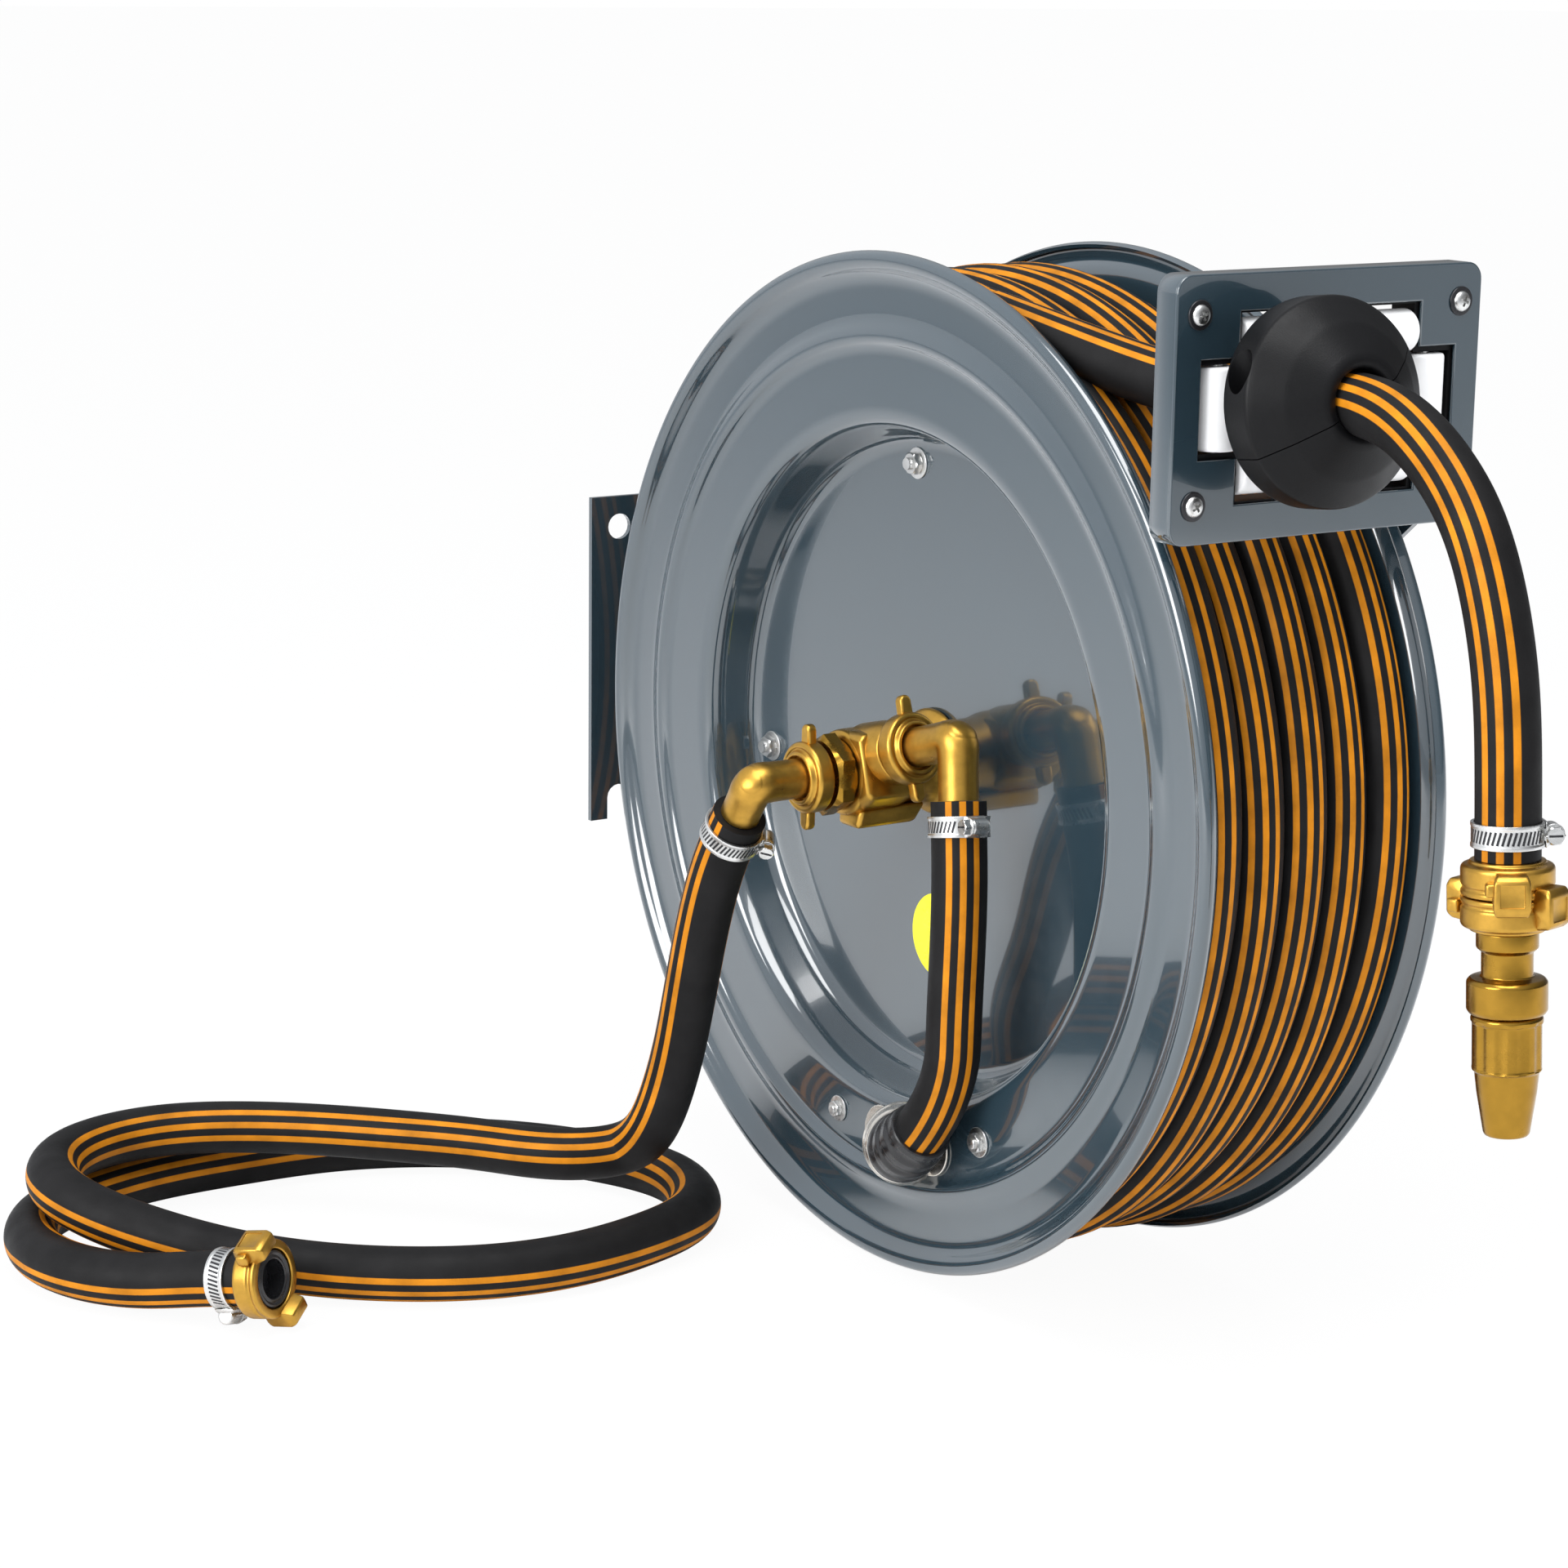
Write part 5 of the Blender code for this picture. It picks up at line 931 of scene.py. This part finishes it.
def cast_elbow(node, start, corner, end):
    """A cast pipe bend: straight legs, a sharp turn with a domed corner, and a collar at the nut."""
    first = (start - corner).normalized()
    last = (end - corner).normalized()
    turn = 0.0058
    a = corner + first * turn
    b = corner + last * turn
    bend = [a.lerp(corner, t / 16).lerp(corner.lerp(b, t / 16), t / 16) for t in range(17)]
    line = even_points([start, *bend, end], 0.0009)
    radii = []
    for point in line:
        near = (point - bend[8]).length
        fuller = 1 + 0.06 * math.exp(-((near / 0.0070) ** 2))
        radii.append(PIPE_RADIUS * 0.985 * fuller)
    pipe = swept(node + "_pipe", line, radii, BRASS, AXIS_X.cross(first) + AXIS_Y * 0.01, sides=56)
    outer = -(first + last).normalized()
    dome = turned(node + "_dome", soften([(0, -0.0085), (0.0086, -0.0085), (0.0086, 0.0010), (0.0060, 0.0044),
                                          (0, 0.0056)],
                                         0.0034, 6),
                  corner + outer * 0.0028, outer, BRASS, 64, angle=60)
    collar = turned(node + "_collar", soften([(0.0094, 0.0), (0.0110, 0.0004), (0.0110, 0.0016),
                                              (0.0094, 0.0022)], 0.0005),
                    start, -first, BRASS, 64)
    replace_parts(pipe, node)
    return [pipe, dome, collar]


NUT_COVER = 0.0068
inlet_nut_start = Vector((THREAD_END - 0.0003 + NUT_COVER, REEL_Y, 0))
riding("frame", "brass", *eared_nut("inlet_wing_nut", inlet_nut_start, -AXIS_X, AXIS_Z, NUT_COVER))
riding(
    "frame",
    "brass",
    *cast_elbow("inlet_elbow", Vector((THREAD_END - 0.0003, REEL_Y, 0)), INLET_CORNER,
                INLET_CORNER + inlet_leg * 0.0210),
)
outlet_thread_end = OUTLET_PORT + outlet_port_way * 0.0350
outlet_nut_start = outlet_thread_end + outlet_port_way * (0.0003 - NUT_COVER)
riding("drum", "brass", *eared_nut("outlet_wing_nut", outlet_nut_start, outlet_port_way, port_side, NUT_COVER))
riding(
    "drum",
    "brass",
    *cast_elbow("outlet_elbow", outlet_thread_end + outlet_port_way * 0.0003, OUTLET_CORNER,
                OUTLET_CORNER + outlet_leg * 0.0290),
)

# ---------------------------------------------------------------------------------------------
# Hose clamps: a slotted band of zinc-plated steel round each hose end, drawn tight by a worm screw
# in a small housing. There is one on each end of the supply hose, on the link and at the nozzle.
# ---------------------------------------------------------------------------------------------


def worm_clamp(node, centre, way, screw_way, body):
    """A band with raised edges and slots all round, a round-backed screw housing and its hexagon screw. The slots and
    the screw's slot are near-black patches, painted shade in their openings.
    """
    inner = HOSE_RADIUS + 0.0001
    outer = HOSE_RADIUS + 0.0011
    half = 0.0050
    band = turned(
        node + "_band",
        soften([(inner, -half), (outer + 0.0003, -half), (outer + 0.0003, -half + 0.0013), (outer, -half + 0.0019),
                (outer, half - 0.0019), (outer + 0.0003, half - 0.0013), (outer + 0.0003, half), (inner,
                                                                                                  half)], 0.0002),
        centre, way, STEEL, 132,
    )
    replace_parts(band, node)
    side = (screw_way - way * way.dot(screw_way)).normalized()
    across = way.cross(side)
    # The slots are not cut: thin near-black patches lie on the band as painted shade where their openings are.
    slots = bmesh.new()
    for k in range(44):
        a = 2 * math.pi * k / 44
        out = side * math.cos(a) + across * math.sin(a)
        if out.dot(side) > 0.80:
            continue
        slant = (way * 0.96 + way.cross(out) * 0.28).normalized()
        thin = slant.cross(out).normalized()
        corners = [slots.verts.new(centre + out * (outer + 0.00004) + slant * s * 0.0028 + thin * w * 0.00052) for s, w in
                   ((-1, -1), (-1, 1), (1, 1), (1, -1))]
        slots.faces.new(corners)
    bmesh.ops.recalc_face_normals(slots, faces=slots.faces)
    deeper = bmesh.ops.extrude_face_region(slots, geom=slots.faces[:])
    for vert in [v for v in deeper["geom"] if isinstance(v, bmesh.types.BMVert)]:
        vert.co -= (vert.co - centre - way * (vert.co - centre).dot(way)).normalized() * 0.0003
    slot_mesh = bpy.data.meshes.new(node + "_slots")
    slots.to_mesh(slot_mesh)
    slot_shade_patches = add_piece(node + "_slots", slot_mesh, DARK_STEEL_AND_SHADE)
    seat = centre + side * (outer + 0.0016)
    saddle = bar(node + "_saddle", seat - side * 0.0012, (0.0020, 0.0120, 0.0110), way, side, STEEL, 0.0007, 3,
                 narrow=0.8)
    crown = turned(node + "_crown", soften([(0, -0.0046), (0.0038, -0.0046), (0.0042, -0.0036), (0.0042, 0.0036),
                                            (0.0038, 0.0046), (0, 0.0046)], 0.0008),
                   seat + side * 0.0012, across, STEEL, 40)
    screw = hexagon(node + "_screw", seat + side * 0.0012 + across * 0.0048, across, 0.0040, 0.0044, STEEL, up=side)
    lip = turned(node + "_screw_lip", soften([(0, 0), (0.0044, 0), (0.0044, 0.0009), (0, 0.0009)], 0.0003),
                 seat + side * 0.0012 + across * 0.0044, across, STEEL, 40)
    # The screw's slot is a near-black bar on its end: painted shade in the slot.
    cut = bar(node + "_screw_slot", seat + side * 0.0012 + across * 0.0092, (0.0056, 0.0009, 0.0006), across, side,
              DARK_STEEL_AND_SHADE, 0.0001, 1)
    pieces = [band, slot_shade_patches, saddle, crown, screw, lip, cut]
    riding(body, "zinc_steel", *pieces)
    return pieces


clamp_turn = AXIS_X * 0.83 - AXIS_Y * 0.55
worm_clamp("inlet_clamp", hose_start + inlet_leg * 0.0120, inlet_leg, clamp_turn, "frame")
worm_clamp("connecting_clamp", hose_top + outlet_leg * 0.0120, outlet_leg, -AXIS_Y - AXIS_X * 0.1, "drum")
outlet_way = Vector((0.00037, -0.07125, -0.99746)).normalized()
outlet_end = outlet_line[-1]
supply_way = (supply_line[-1] - supply_line[-2]).normalized()
supply_end = supply_line[-1]
nozzle_clamp = worm_clamp("nozzle_clamp", outlet_end - outlet_way * 0.0100, outlet_way, clamp_turn, "frame")
supply_clamp = worm_clamp("supply_clamp", supply_end - supply_way * 0.0110, supply_way, -AXIS_Z - AXIS_Y * 0.5,
                          "frame")

# ---------------------------------------------------------------------------------------------
# Grommet: where the link hose goes through the front disc, a steel plate holds a stepped rubber
# boot round it. A screw with a washer sits at one end of the plate and a small nut at the other.
# ---------------------------------------------------------------------------------------------

grommet_out = Vector((0, -math.cos(GROMMET_ANGLE), math.sin(GROMMET_ANGLE)))
grommet_along = AXIS_X.cross(grommet_out)


def curved_slot(half_length, half_width):
    """A slot shape with round ends, about its middle and bent round the drum."""
    straight = half_length - half_width
    right = arc_points((straight, 0), half_width, 25, -math.pi / 2, math.pi)
    left = arc_points((-straight, 0), half_width, 25, math.pi / 2, math.pi)
    middle = [(share * straight / 2, half_width) for share in (1, 0, -1)]
    outline = []
    for along, out in right + middle + left + [(-x, -y) for x, y in middle]:
        radius = GROMMET_RADIUS + out
        angle = along / GROMMET_RADIUS
        outline.append((radius * math.sin(angle), radius * math.cos(angle) - GROMMET_RADIUS))
    return outline


RING_FACE = BAND_FACE + 0.0003
ring_spot = spot_on_drum(GROMMET_RADIUS, GROMMET_ANGLE, -RING_FACE - 0.0007)
RING_STEEL = finish("nickel_plate", (0.70, 0.66, 0.60, 1), 0.08, 90.0, 0.14, 0.30, 1200.0, 0.05, Metallic=1.0)
ring_plate = pressed("grommet_plate", [curved_slot(0.0350, 0.0149)], 0.0014, 0.0005, ring_spot, grommet_along,
                     grommet_out, RING_STEEL)
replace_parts(ring_plate, "grommet_ring")
riding("drum", "zinc_steel", ring_plate)
BOOT_STEP = 0.0006
BOOT_STRETCH = 1.35
plate_end = min(range(len(connecting_line)), key=lambda i: (connecting_line[i] - grommet_spot).length)
boot_line = even_points(connecting_line[max(0, plate_end - 60) : plate_end + 1], BOOT_STEP)


def sleeve_on_hose(name, shape, material):
    """A sleeve that follows the hose. Its shape gives radii by the distance up the hose from the disc."""
    total = route_length(boot_line)
    reach, radii = zip(*[(BOOT_STRETCH * along, radius) for along, radius in shape])
    line = [spot for i, spot in enumerate(boot_line) if reach[0] <= total - i * BOOT_STEP <= reach[-1]]
    first = total - boot_line.index(line[0]) * BOOT_STEP
    sizes = [float(np.interp(first - i * BOOT_STEP, reach, radii)) for i in range(len(line))]
    return swept(name, line, sizes, material, grommet_along, sides=64)


boot_foot = sleeve_on_hose("grommet_foot", [(0.0, 0.0208), (0.0030, 0.0208), (0.0044, 0.0198), (0.0090, 0.0190),
                                            (0.0102, 0.0180)], RING_STEEL)
boot_sleeve = sleeve_on_hose(
    "grommet_sleeve",
    [(0.0, 0.0176), (0.0150, 0.0176), (0.0162, 0.0166), (0.0172, 0.0160), (0.0182, 0.0160), (0.0192, 0.0170),
     (0.0222, 0.0170), (0.0232, 0.0158), (0.0246, 0.0156), (0.0256, 0.0164), (0.0284, 0.0164), (0.0294, 0.0152),
     (0.0308, 0.0150), (0.0316, 0.0156), (0.0338, 0.0154), (0.0346, 0.0140)],
    SOFT_BLACK,
)
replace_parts(boot_sleeve, "grommet_boot")
riding("drum", "zinc_steel", boot_foot)
riding("drum", "black_plastic", boot_sleeve)
for name, spot, reach in (
    ("grommet_screw", Vector((-0.0650, REEL_Y - 0.0819, -0.1689)), 0.0052),
    ("grommet_nut", Vector((-0.0650, REEL_Y + 0.0366, -0.1840)), 0.0044),
):
    washer = turned(name + "_washer", soften([(0, 0), (reach + 0.0022, 0), (reach + 0.0022, 0.0009),
                                              (0, 0.0009)], 0.0003),
                    spot + AXIS_X * 0.0008, -AXIS_X, STEEL, 48)
    head = hexagon(name + "_hex", spot - AXIS_X * 0.0001, -AXIS_X, reach, 0.0030, STEEL)
    dimple = turned(name + "_end", soften([(0, 0), (reach * 0.55, 0), (reach * 0.5, 0.0012), (0, 0.0014)], 0.0004),
                    spot - AXIS_X * 0.0030, -AXIS_X, STEEL, 40)
    riding("drum", "zinc_steel", washer, head, dimple)

# ---------------------------------------------------------------------------------------------
# Hose guide: a pressed, enamelled plate over a black block, with four white rollers on steel pins
# round its window. Four dome-head screws with cross recesses hold the plate to the block.
# ---------------------------------------------------------------------------------------------

GUIDE_Z = 0.2000
GUIDE_FRONT = -0.5150
GUIDE_HALF_WIDTH = 0.0868
GUIDE_HALF_HEIGHT = 0.0577


def rounded_box(half_width, half_height, corner, points=10):
    """A rectangle about the origin with round corners."""
    outline = []
    for quarter, (sx, sy) in enumerate(((1, 1), (-1, 1), (-1, -1), (1, -1))):
        centre = (sx * (half_width - corner), sy * (half_height - corner))
        outline += arc_points(centre, corner, points, quarter * math.pi / 2, math.pi / 2)
    return outline


def cross_outline(wide, low, narrow, high):
    """A wide low slot crossed by a narrow high one, as half sizes."""
    quarter = [(wide, -low), (wide, low), (narrow, low), (narrow, high)]
    return quarter + [(-narrow, high), (-narrow, low), (-wide, low), (-wide, -low)] + [
        (-narrow, -low), (-narrow, -high), (narrow, -high), (narrow, -low)]


window = cross_outline(0.0725, 0.0215, 0.0515, 0.0415)
guide_spot = Vector((0, GUIDE_FRONT + SHEET / 2, GUIDE_Z))
guide_face = pressed("guide_face", [rounded_box(GUIDE_HALF_WIDTH, GUIDE_HALF_HEIGHT, 0.008), window], SHEET, 0.0007,
                     guide_spot, AXIS_X, AXIS_Z, PAINT)
bm = bmesh.new()
skirt_rings = []
for inset, depth in ((0.0024, 0.0), (0.0012, 0.0002), (0.0003, 0.0010), (0.0, 0.0024), (0.0, 0.0136),
                     (0.0004, 0.0140),
                     (0.0014, 0.0140), (0.0018, 0.0136), (0.0018, 0.0026), (0.0024, 0.0018)):
    ring = []
    for x, z in rounded_box(GUIDE_HALF_WIDTH - inset, GUIDE_HALF_HEIGHT - inset, 0.008 - inset, 12):
        ring.append(bm.verts.new((x, GUIDE_FRONT + depth, GUIDE_Z + z)))
    skirt_rings.append(ring)
skirt_rings.append(skirt_rings[0])
join_rings(bm, skirt_rings)
guide_skirt = built_piece(bm, "guide_skirt", PAINT, 60)
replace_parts(guide_face, "guide_plate")
riding("frame", "blue_grey_paint", guide_face, guide_skirt)
show_node("guide_frame", BLACK, 0.0006)

for name, (x, z), way, half in (
    ("roller_top", (0, 0.02851), AXIS_X, 0.0485),
    ("roller_bottom", (0, -0.02849), AXIS_X, 0.0485),
    ("roller_left", (-0.0590, 0), AXIS_Z, 0.0180),
    ("roller_right", (0.0590, 0), AXIS_Z, 0.0180),
):
    radius = 0.00968
    sleeve = turned(
        name + "_sleeve",
        soften([(0.0031, -half), (radius - 0.0006, -half), (radius, -half + 0.0012), (radius, half - 0.0012),
                (radius - 0.0006, half), (0.0031, half)], 0.0008),
        (x, -0.5089, GUIDE_Z + z), way, WHITE, 72,
    )
    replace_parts(sleeve, name)
    riding(name, "white_plastic", sleeve)
    show_node(name + "_pin", STEEL, 0.0003)


def carve(piece, *cutters):
    """Cuts other meshes out of a piece and removes them."""
    for cutter in cutters:
        cut = piece.modifiers.new("cut", "BOOLEAN")
        cut.operation = "DIFFERENCE"
        cut.solver = "EXACT"
        cut.object = cutter
    bpy.context.view_layer.update()
    graph = bpy.context.evaluated_depsgraph_get()
    mesh = bpy.data.meshes.new_from_object(piece.evaluated_get(graph))
    piece.modifiers.clear()
    piece.data = mesh
    for cutter in cutters:
        bpy.data.objects.remove(cutter)
    mesh.shade_smooth()
    mesh.set_sharp_from_angle(angle=math.radians(35))
    return piece


for index, (side_x, side_z) in enumerate(((-1, 1), (1, 1), (-1, -1), (1, -1))):
    spot = Vector((side_x * 0.0745, GUIDE_FRONT, GUIDE_Z + side_z * 0.0407))
    washer = turned(f"guide_washer_{index + 1}", soften([(0, 0), (0.0066, 0), (0.0064, 0.0009), (0, 0.0009)], 0.0004),
                    spot, -AXIS_Y, DARK_STEEL_AND_SHADE, 48)
    head = turned(f"guide_screw_head_{index + 1}",
                  soften([(0, 0.0003), (0.0046, 0.0003), (0.0046, 0.0014), (0.0034, 0.0028), (0, 0.0032)], 0.0011),
                  spot, -AXIS_Y, STEEL, 48)
    tilt = 0.35 + index * 0.9
    spoke = Vector((math.cos(tilt), 0, math.sin(tilt)))
    carve(head, *[bar("recess", spot - AXIS_Y * 0.0030, (0.0048, 0.0012, 0.0040), -AXIS_Y, way, DARK_STEEL_AND_SHADE, 0.0001, 1)
                  for way in (spoke, spoke.cross(AXIS_Y))])
    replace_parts(head, f"guide_screw_{index + 1}")
    riding("frame", "zinc_steel", washer, head)

# ---------------------------------------------------------------------------------------------
# Hose stop: a black moulded ball in two halves, screwed together round the hose. It has a band
# between two shallow cones and two screw wells, and it stops the hose at the guide.
# ---------------------------------------------------------------------------------------------

STOP_SEAM = math.radians(29)
seam_way = (AXIS_X * math.cos(STOP_SEAM) + AXIS_Z * math.sin(STOP_SEAM)).normalized()
seam_up = stop_way.cross(seam_way).normalized()
ball = turned(
    "stop_ball",
    soften(
        [
            (HOSE_RADIUS + 0.0002, 0.0060), (HOSE_RADIUS + 0.0004, 0.0290), (0.0172, 0.0299),
            (0.0197, 0.0290), (0.0330, 0.0196), (0.0434, 0.0096), (0.0450, 0.0078), (0.0450, -0.0078),
            (0.0438, -0.0092), (0.0197, -0.0290), (0.0172, -0.0299), (HOSE_RADIUS + 0.0004, -0.0290),
            (HOSE_RADIUS + 0.0002, -0.0060),
        ],
        0.0016,
    ),
    STOP,
    stop_way,
    BLACK,
    160,
    closed=True,
)
seam_cutter = bar("seam_cutter", STOP, (0.12, 0.0005, 0.12), stop_way, seam_way, BLACK, 0.00001, 1)
wells = []
for side in (-1, 1):
    spot = STOP + seam_way * side * 0.029
    wells.append(turned(f"well_cutter_{side}", [(0, 0.018), (0.0072, 0.018), (0.0076, 0.050), (0, 0.050)], spot,
                        seam_up,
                        BLACK, 48))
carve(ball, seam_cutter, *wells)
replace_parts(ball, "hose_stop_upper", "hose_stop_lower")
riding("frame", "black_plastic", ball)
for side in (-1, 1):
    spot = STOP + seam_way * side * 0.029 + seam_up * 0.0180
    screw = hexagon(f"stop_screw_{side + 2}", spot, seam_up, 0.0048, 0.0040, STEEL, up=seam_way)
    riding("frame", "zinc_steel", screw)

# ---------------------------------------------------------------------------------------------
# Claw couplings: forged brass halves that lock together by two claws each. One pair joins the
# nozzle to the hose; the free end of the supply hose has the third, with its black seal.
# ---------------------------------------------------------------------------------------------


def claw_coupling(node, start, way, claw_way, open_face=False):
    """Half of a claw coupling: its tail and drum, and two boxed claws that hook forward past its face."""
    length = 0.0142
    face_line = [(0.0093, length - 0.0100), (0.0093, length - 0.0036), (0.0142, length - 0.0036), (0.0142, length)]
    if not open_face:
        face_line = [(0.0, length - 0.0002), (0.0142, length - 0.0002)]
    body = turned(
        node + "_body",
        soften(
            [
                (0.0100, 0.0), (0.0152, 0.0), (0.0154, 0.0012), (0.0180, 0.0018), (0.0188, 0.0030),
                (0.0188, 0.0096), (0.0180, 0.0104), (0.0180, 0.0114), (0.0188, 0.0122),
                (0.0188, length - 0.0006), (0.0180, length),
                *face_line[::-1],
            ],
            0.0009,
        ),
        start, way, BRASS, 96,
    )
    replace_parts(body, node)
    claw_way = (claw_way - way * way.dot(claw_way)).normalized()
    made = [body]
    for number, side in enumerate((1, -1)):
        out = claw_way * side
        across = way.cross(out)
        lug = hull_of(
            f"{node}_claw_{number}",
            [start + way * along + out * reach + across * half * turn
             for along, reach, half in ((0.0022, 0.0150, 0.0060), (0.0030, 0.0226, 0.0058), (0.0050, 0.0246, 0.0072),
                                        (0.0172, 0.0246, 0.0074), (0.0196, 0.0232, 0.0062), (0.0196, 0.0176, 0.0066),
                                        (0.0130, 0.0150, 0.0076))
             for turn in (-1, 1)],
            BRASS, 0.0013, 3,
        )
        carve(lug, bar("pocket", start + way * 0.0108 + out * 0.0248, (0.0016, 0.0098, 0.0094), way, out, BRASS,
                       0.0005, 2))
        tooth = hull_of(
            f"{node}_tooth_{number}",
            [start + way * along + out * reach + across * shift
             for along, reach in ((0.0060, 0.0170), (0.0062, 0.0226), (0.0118, 0.0226), (0.0118, 0.0170))
             for shift in (0.0050, 0.0104)],
            BRASS, 0.0012, 3,
        )
        made += [lug, tooth]
    riding("frame", "brass", *made)
    return made


supply_start = supply_end + supply_way * 0.0003
supply_coupling = claw_coupling("supply_coupling", supply_start, supply_way, Vector((-0.35, -0.23, 0.90)),
                                open_face=True)
seal = turned(
    "coupling_seal",
    soften([(0.0094, 0.0107), (0.0136, 0.0107), (0.0136, 0.0134), (0.0124, 0.0141), (0.0112, 0.0128),
            (0.0100, 0.0138),
            (0.0094, 0.0132)], 0.0006),
    supply_start, supply_way, SOFT_BLACK, 72, closed=True,
)
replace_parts(seal, "supply_seal")
riding("frame", "black_plastic", seal)
# A near-black cup inside the open face: painted shade in the coupling's brass bore.
bore = turned("coupling_bore", [(0.0092, 0.0125), (0.0090, 0.0040), (0, 0.0040)], supply_start, supply_way,
              DARK_STEEL_AND_SHADE, 48)
riding("frame", "brass", bore)

coupling_start = outlet_end + outlet_way * 0.0003
mate_end = coupling_start + outlet_way * 0.0287
hose_coupling = claw_coupling("hose_coupling", coupling_start, outlet_way, Vector((-0.638, -0.770, 0)))
nozzle_coupling = claw_coupling("nozzle_coupling", mate_end, -outlet_way, Vector((0.214, -0.977, 0)))

# ---------------------------------------------------------------------------------------------
# Spray nozzle: a turned brass body with a neck and a collar, and the sleeve that screws along its
# stem to change the jet. The sleeve has shallow flutes for the fingers and a tapered tip.
# ---------------------------------------------------------------------------------------------

nozzle_start = mate_end + outlet_way * 0.0003
nozzle_body = turned(
    "nozzle_stem",
    soften(
        [
            (0, 0), (0.0125, 0), (0.0125, 0.0068), (0.0104, 0.0086), (0.0104, 0.0186), (0.0150, 0.0192),
            (0.0163, 0.0207), (0.0163, 0.0322), (0.0150, 0.0340), (0.0080, 0.0340), (0.0080, 0.0690),
            (0, 0.0690),
        ],
        0.0007,
    ),
    nozzle_start,
    outlet_way,
    TURNED_BRASS_SHADED,
)
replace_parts(nozzle_body, "nozzle_body")
riding("frame", "brass", nozzle_body)
nozzle_tip = turned(
    "nozzle_tip",
    soften(
        [
            (0.0083, 0.0), (0.0137, 0.0), (0.0146, 0.0012), (0.0146, 0.0030), (0.0140, 0.0036),
            (0.0140, 0.0216), (0.0142, 0.0225), (0.0130, 0.0236), (0.0121, 0.0320), (0.0094, 0.0488),
            (0.0086, 0.0500), (0.0060, 0.0500), (0.0056, 0.0490), (0.0056, 0.0375), (0.0083, 0.0355),
        ],
        0.0006,
    ),
    nozzle_start + outlet_way * 0.0343,
    outlet_way,
    TURNED_BRASS_SHADED,
    closed=True,
)
for vert in nozzle_tip.data.vertices:
    apart = vert.co - nozzle_start
    along = apart.dot(outlet_way) - 0.0343
    out = apart - outlet_way * apart.dot(outlet_way)
    if 0.0022 < along < 0.0226 and out.length > 0.0135:
        turn = math.atan2(out.y, out.x)
        vert.co -= out.normalized() * 0.0007 * max(0.0, math.cos(turn * 10)) ** 0.5
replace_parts(nozzle_tip, "nozzle_sleeve")
riding("nozzle_sleeve", "brass", nozzle_tip)
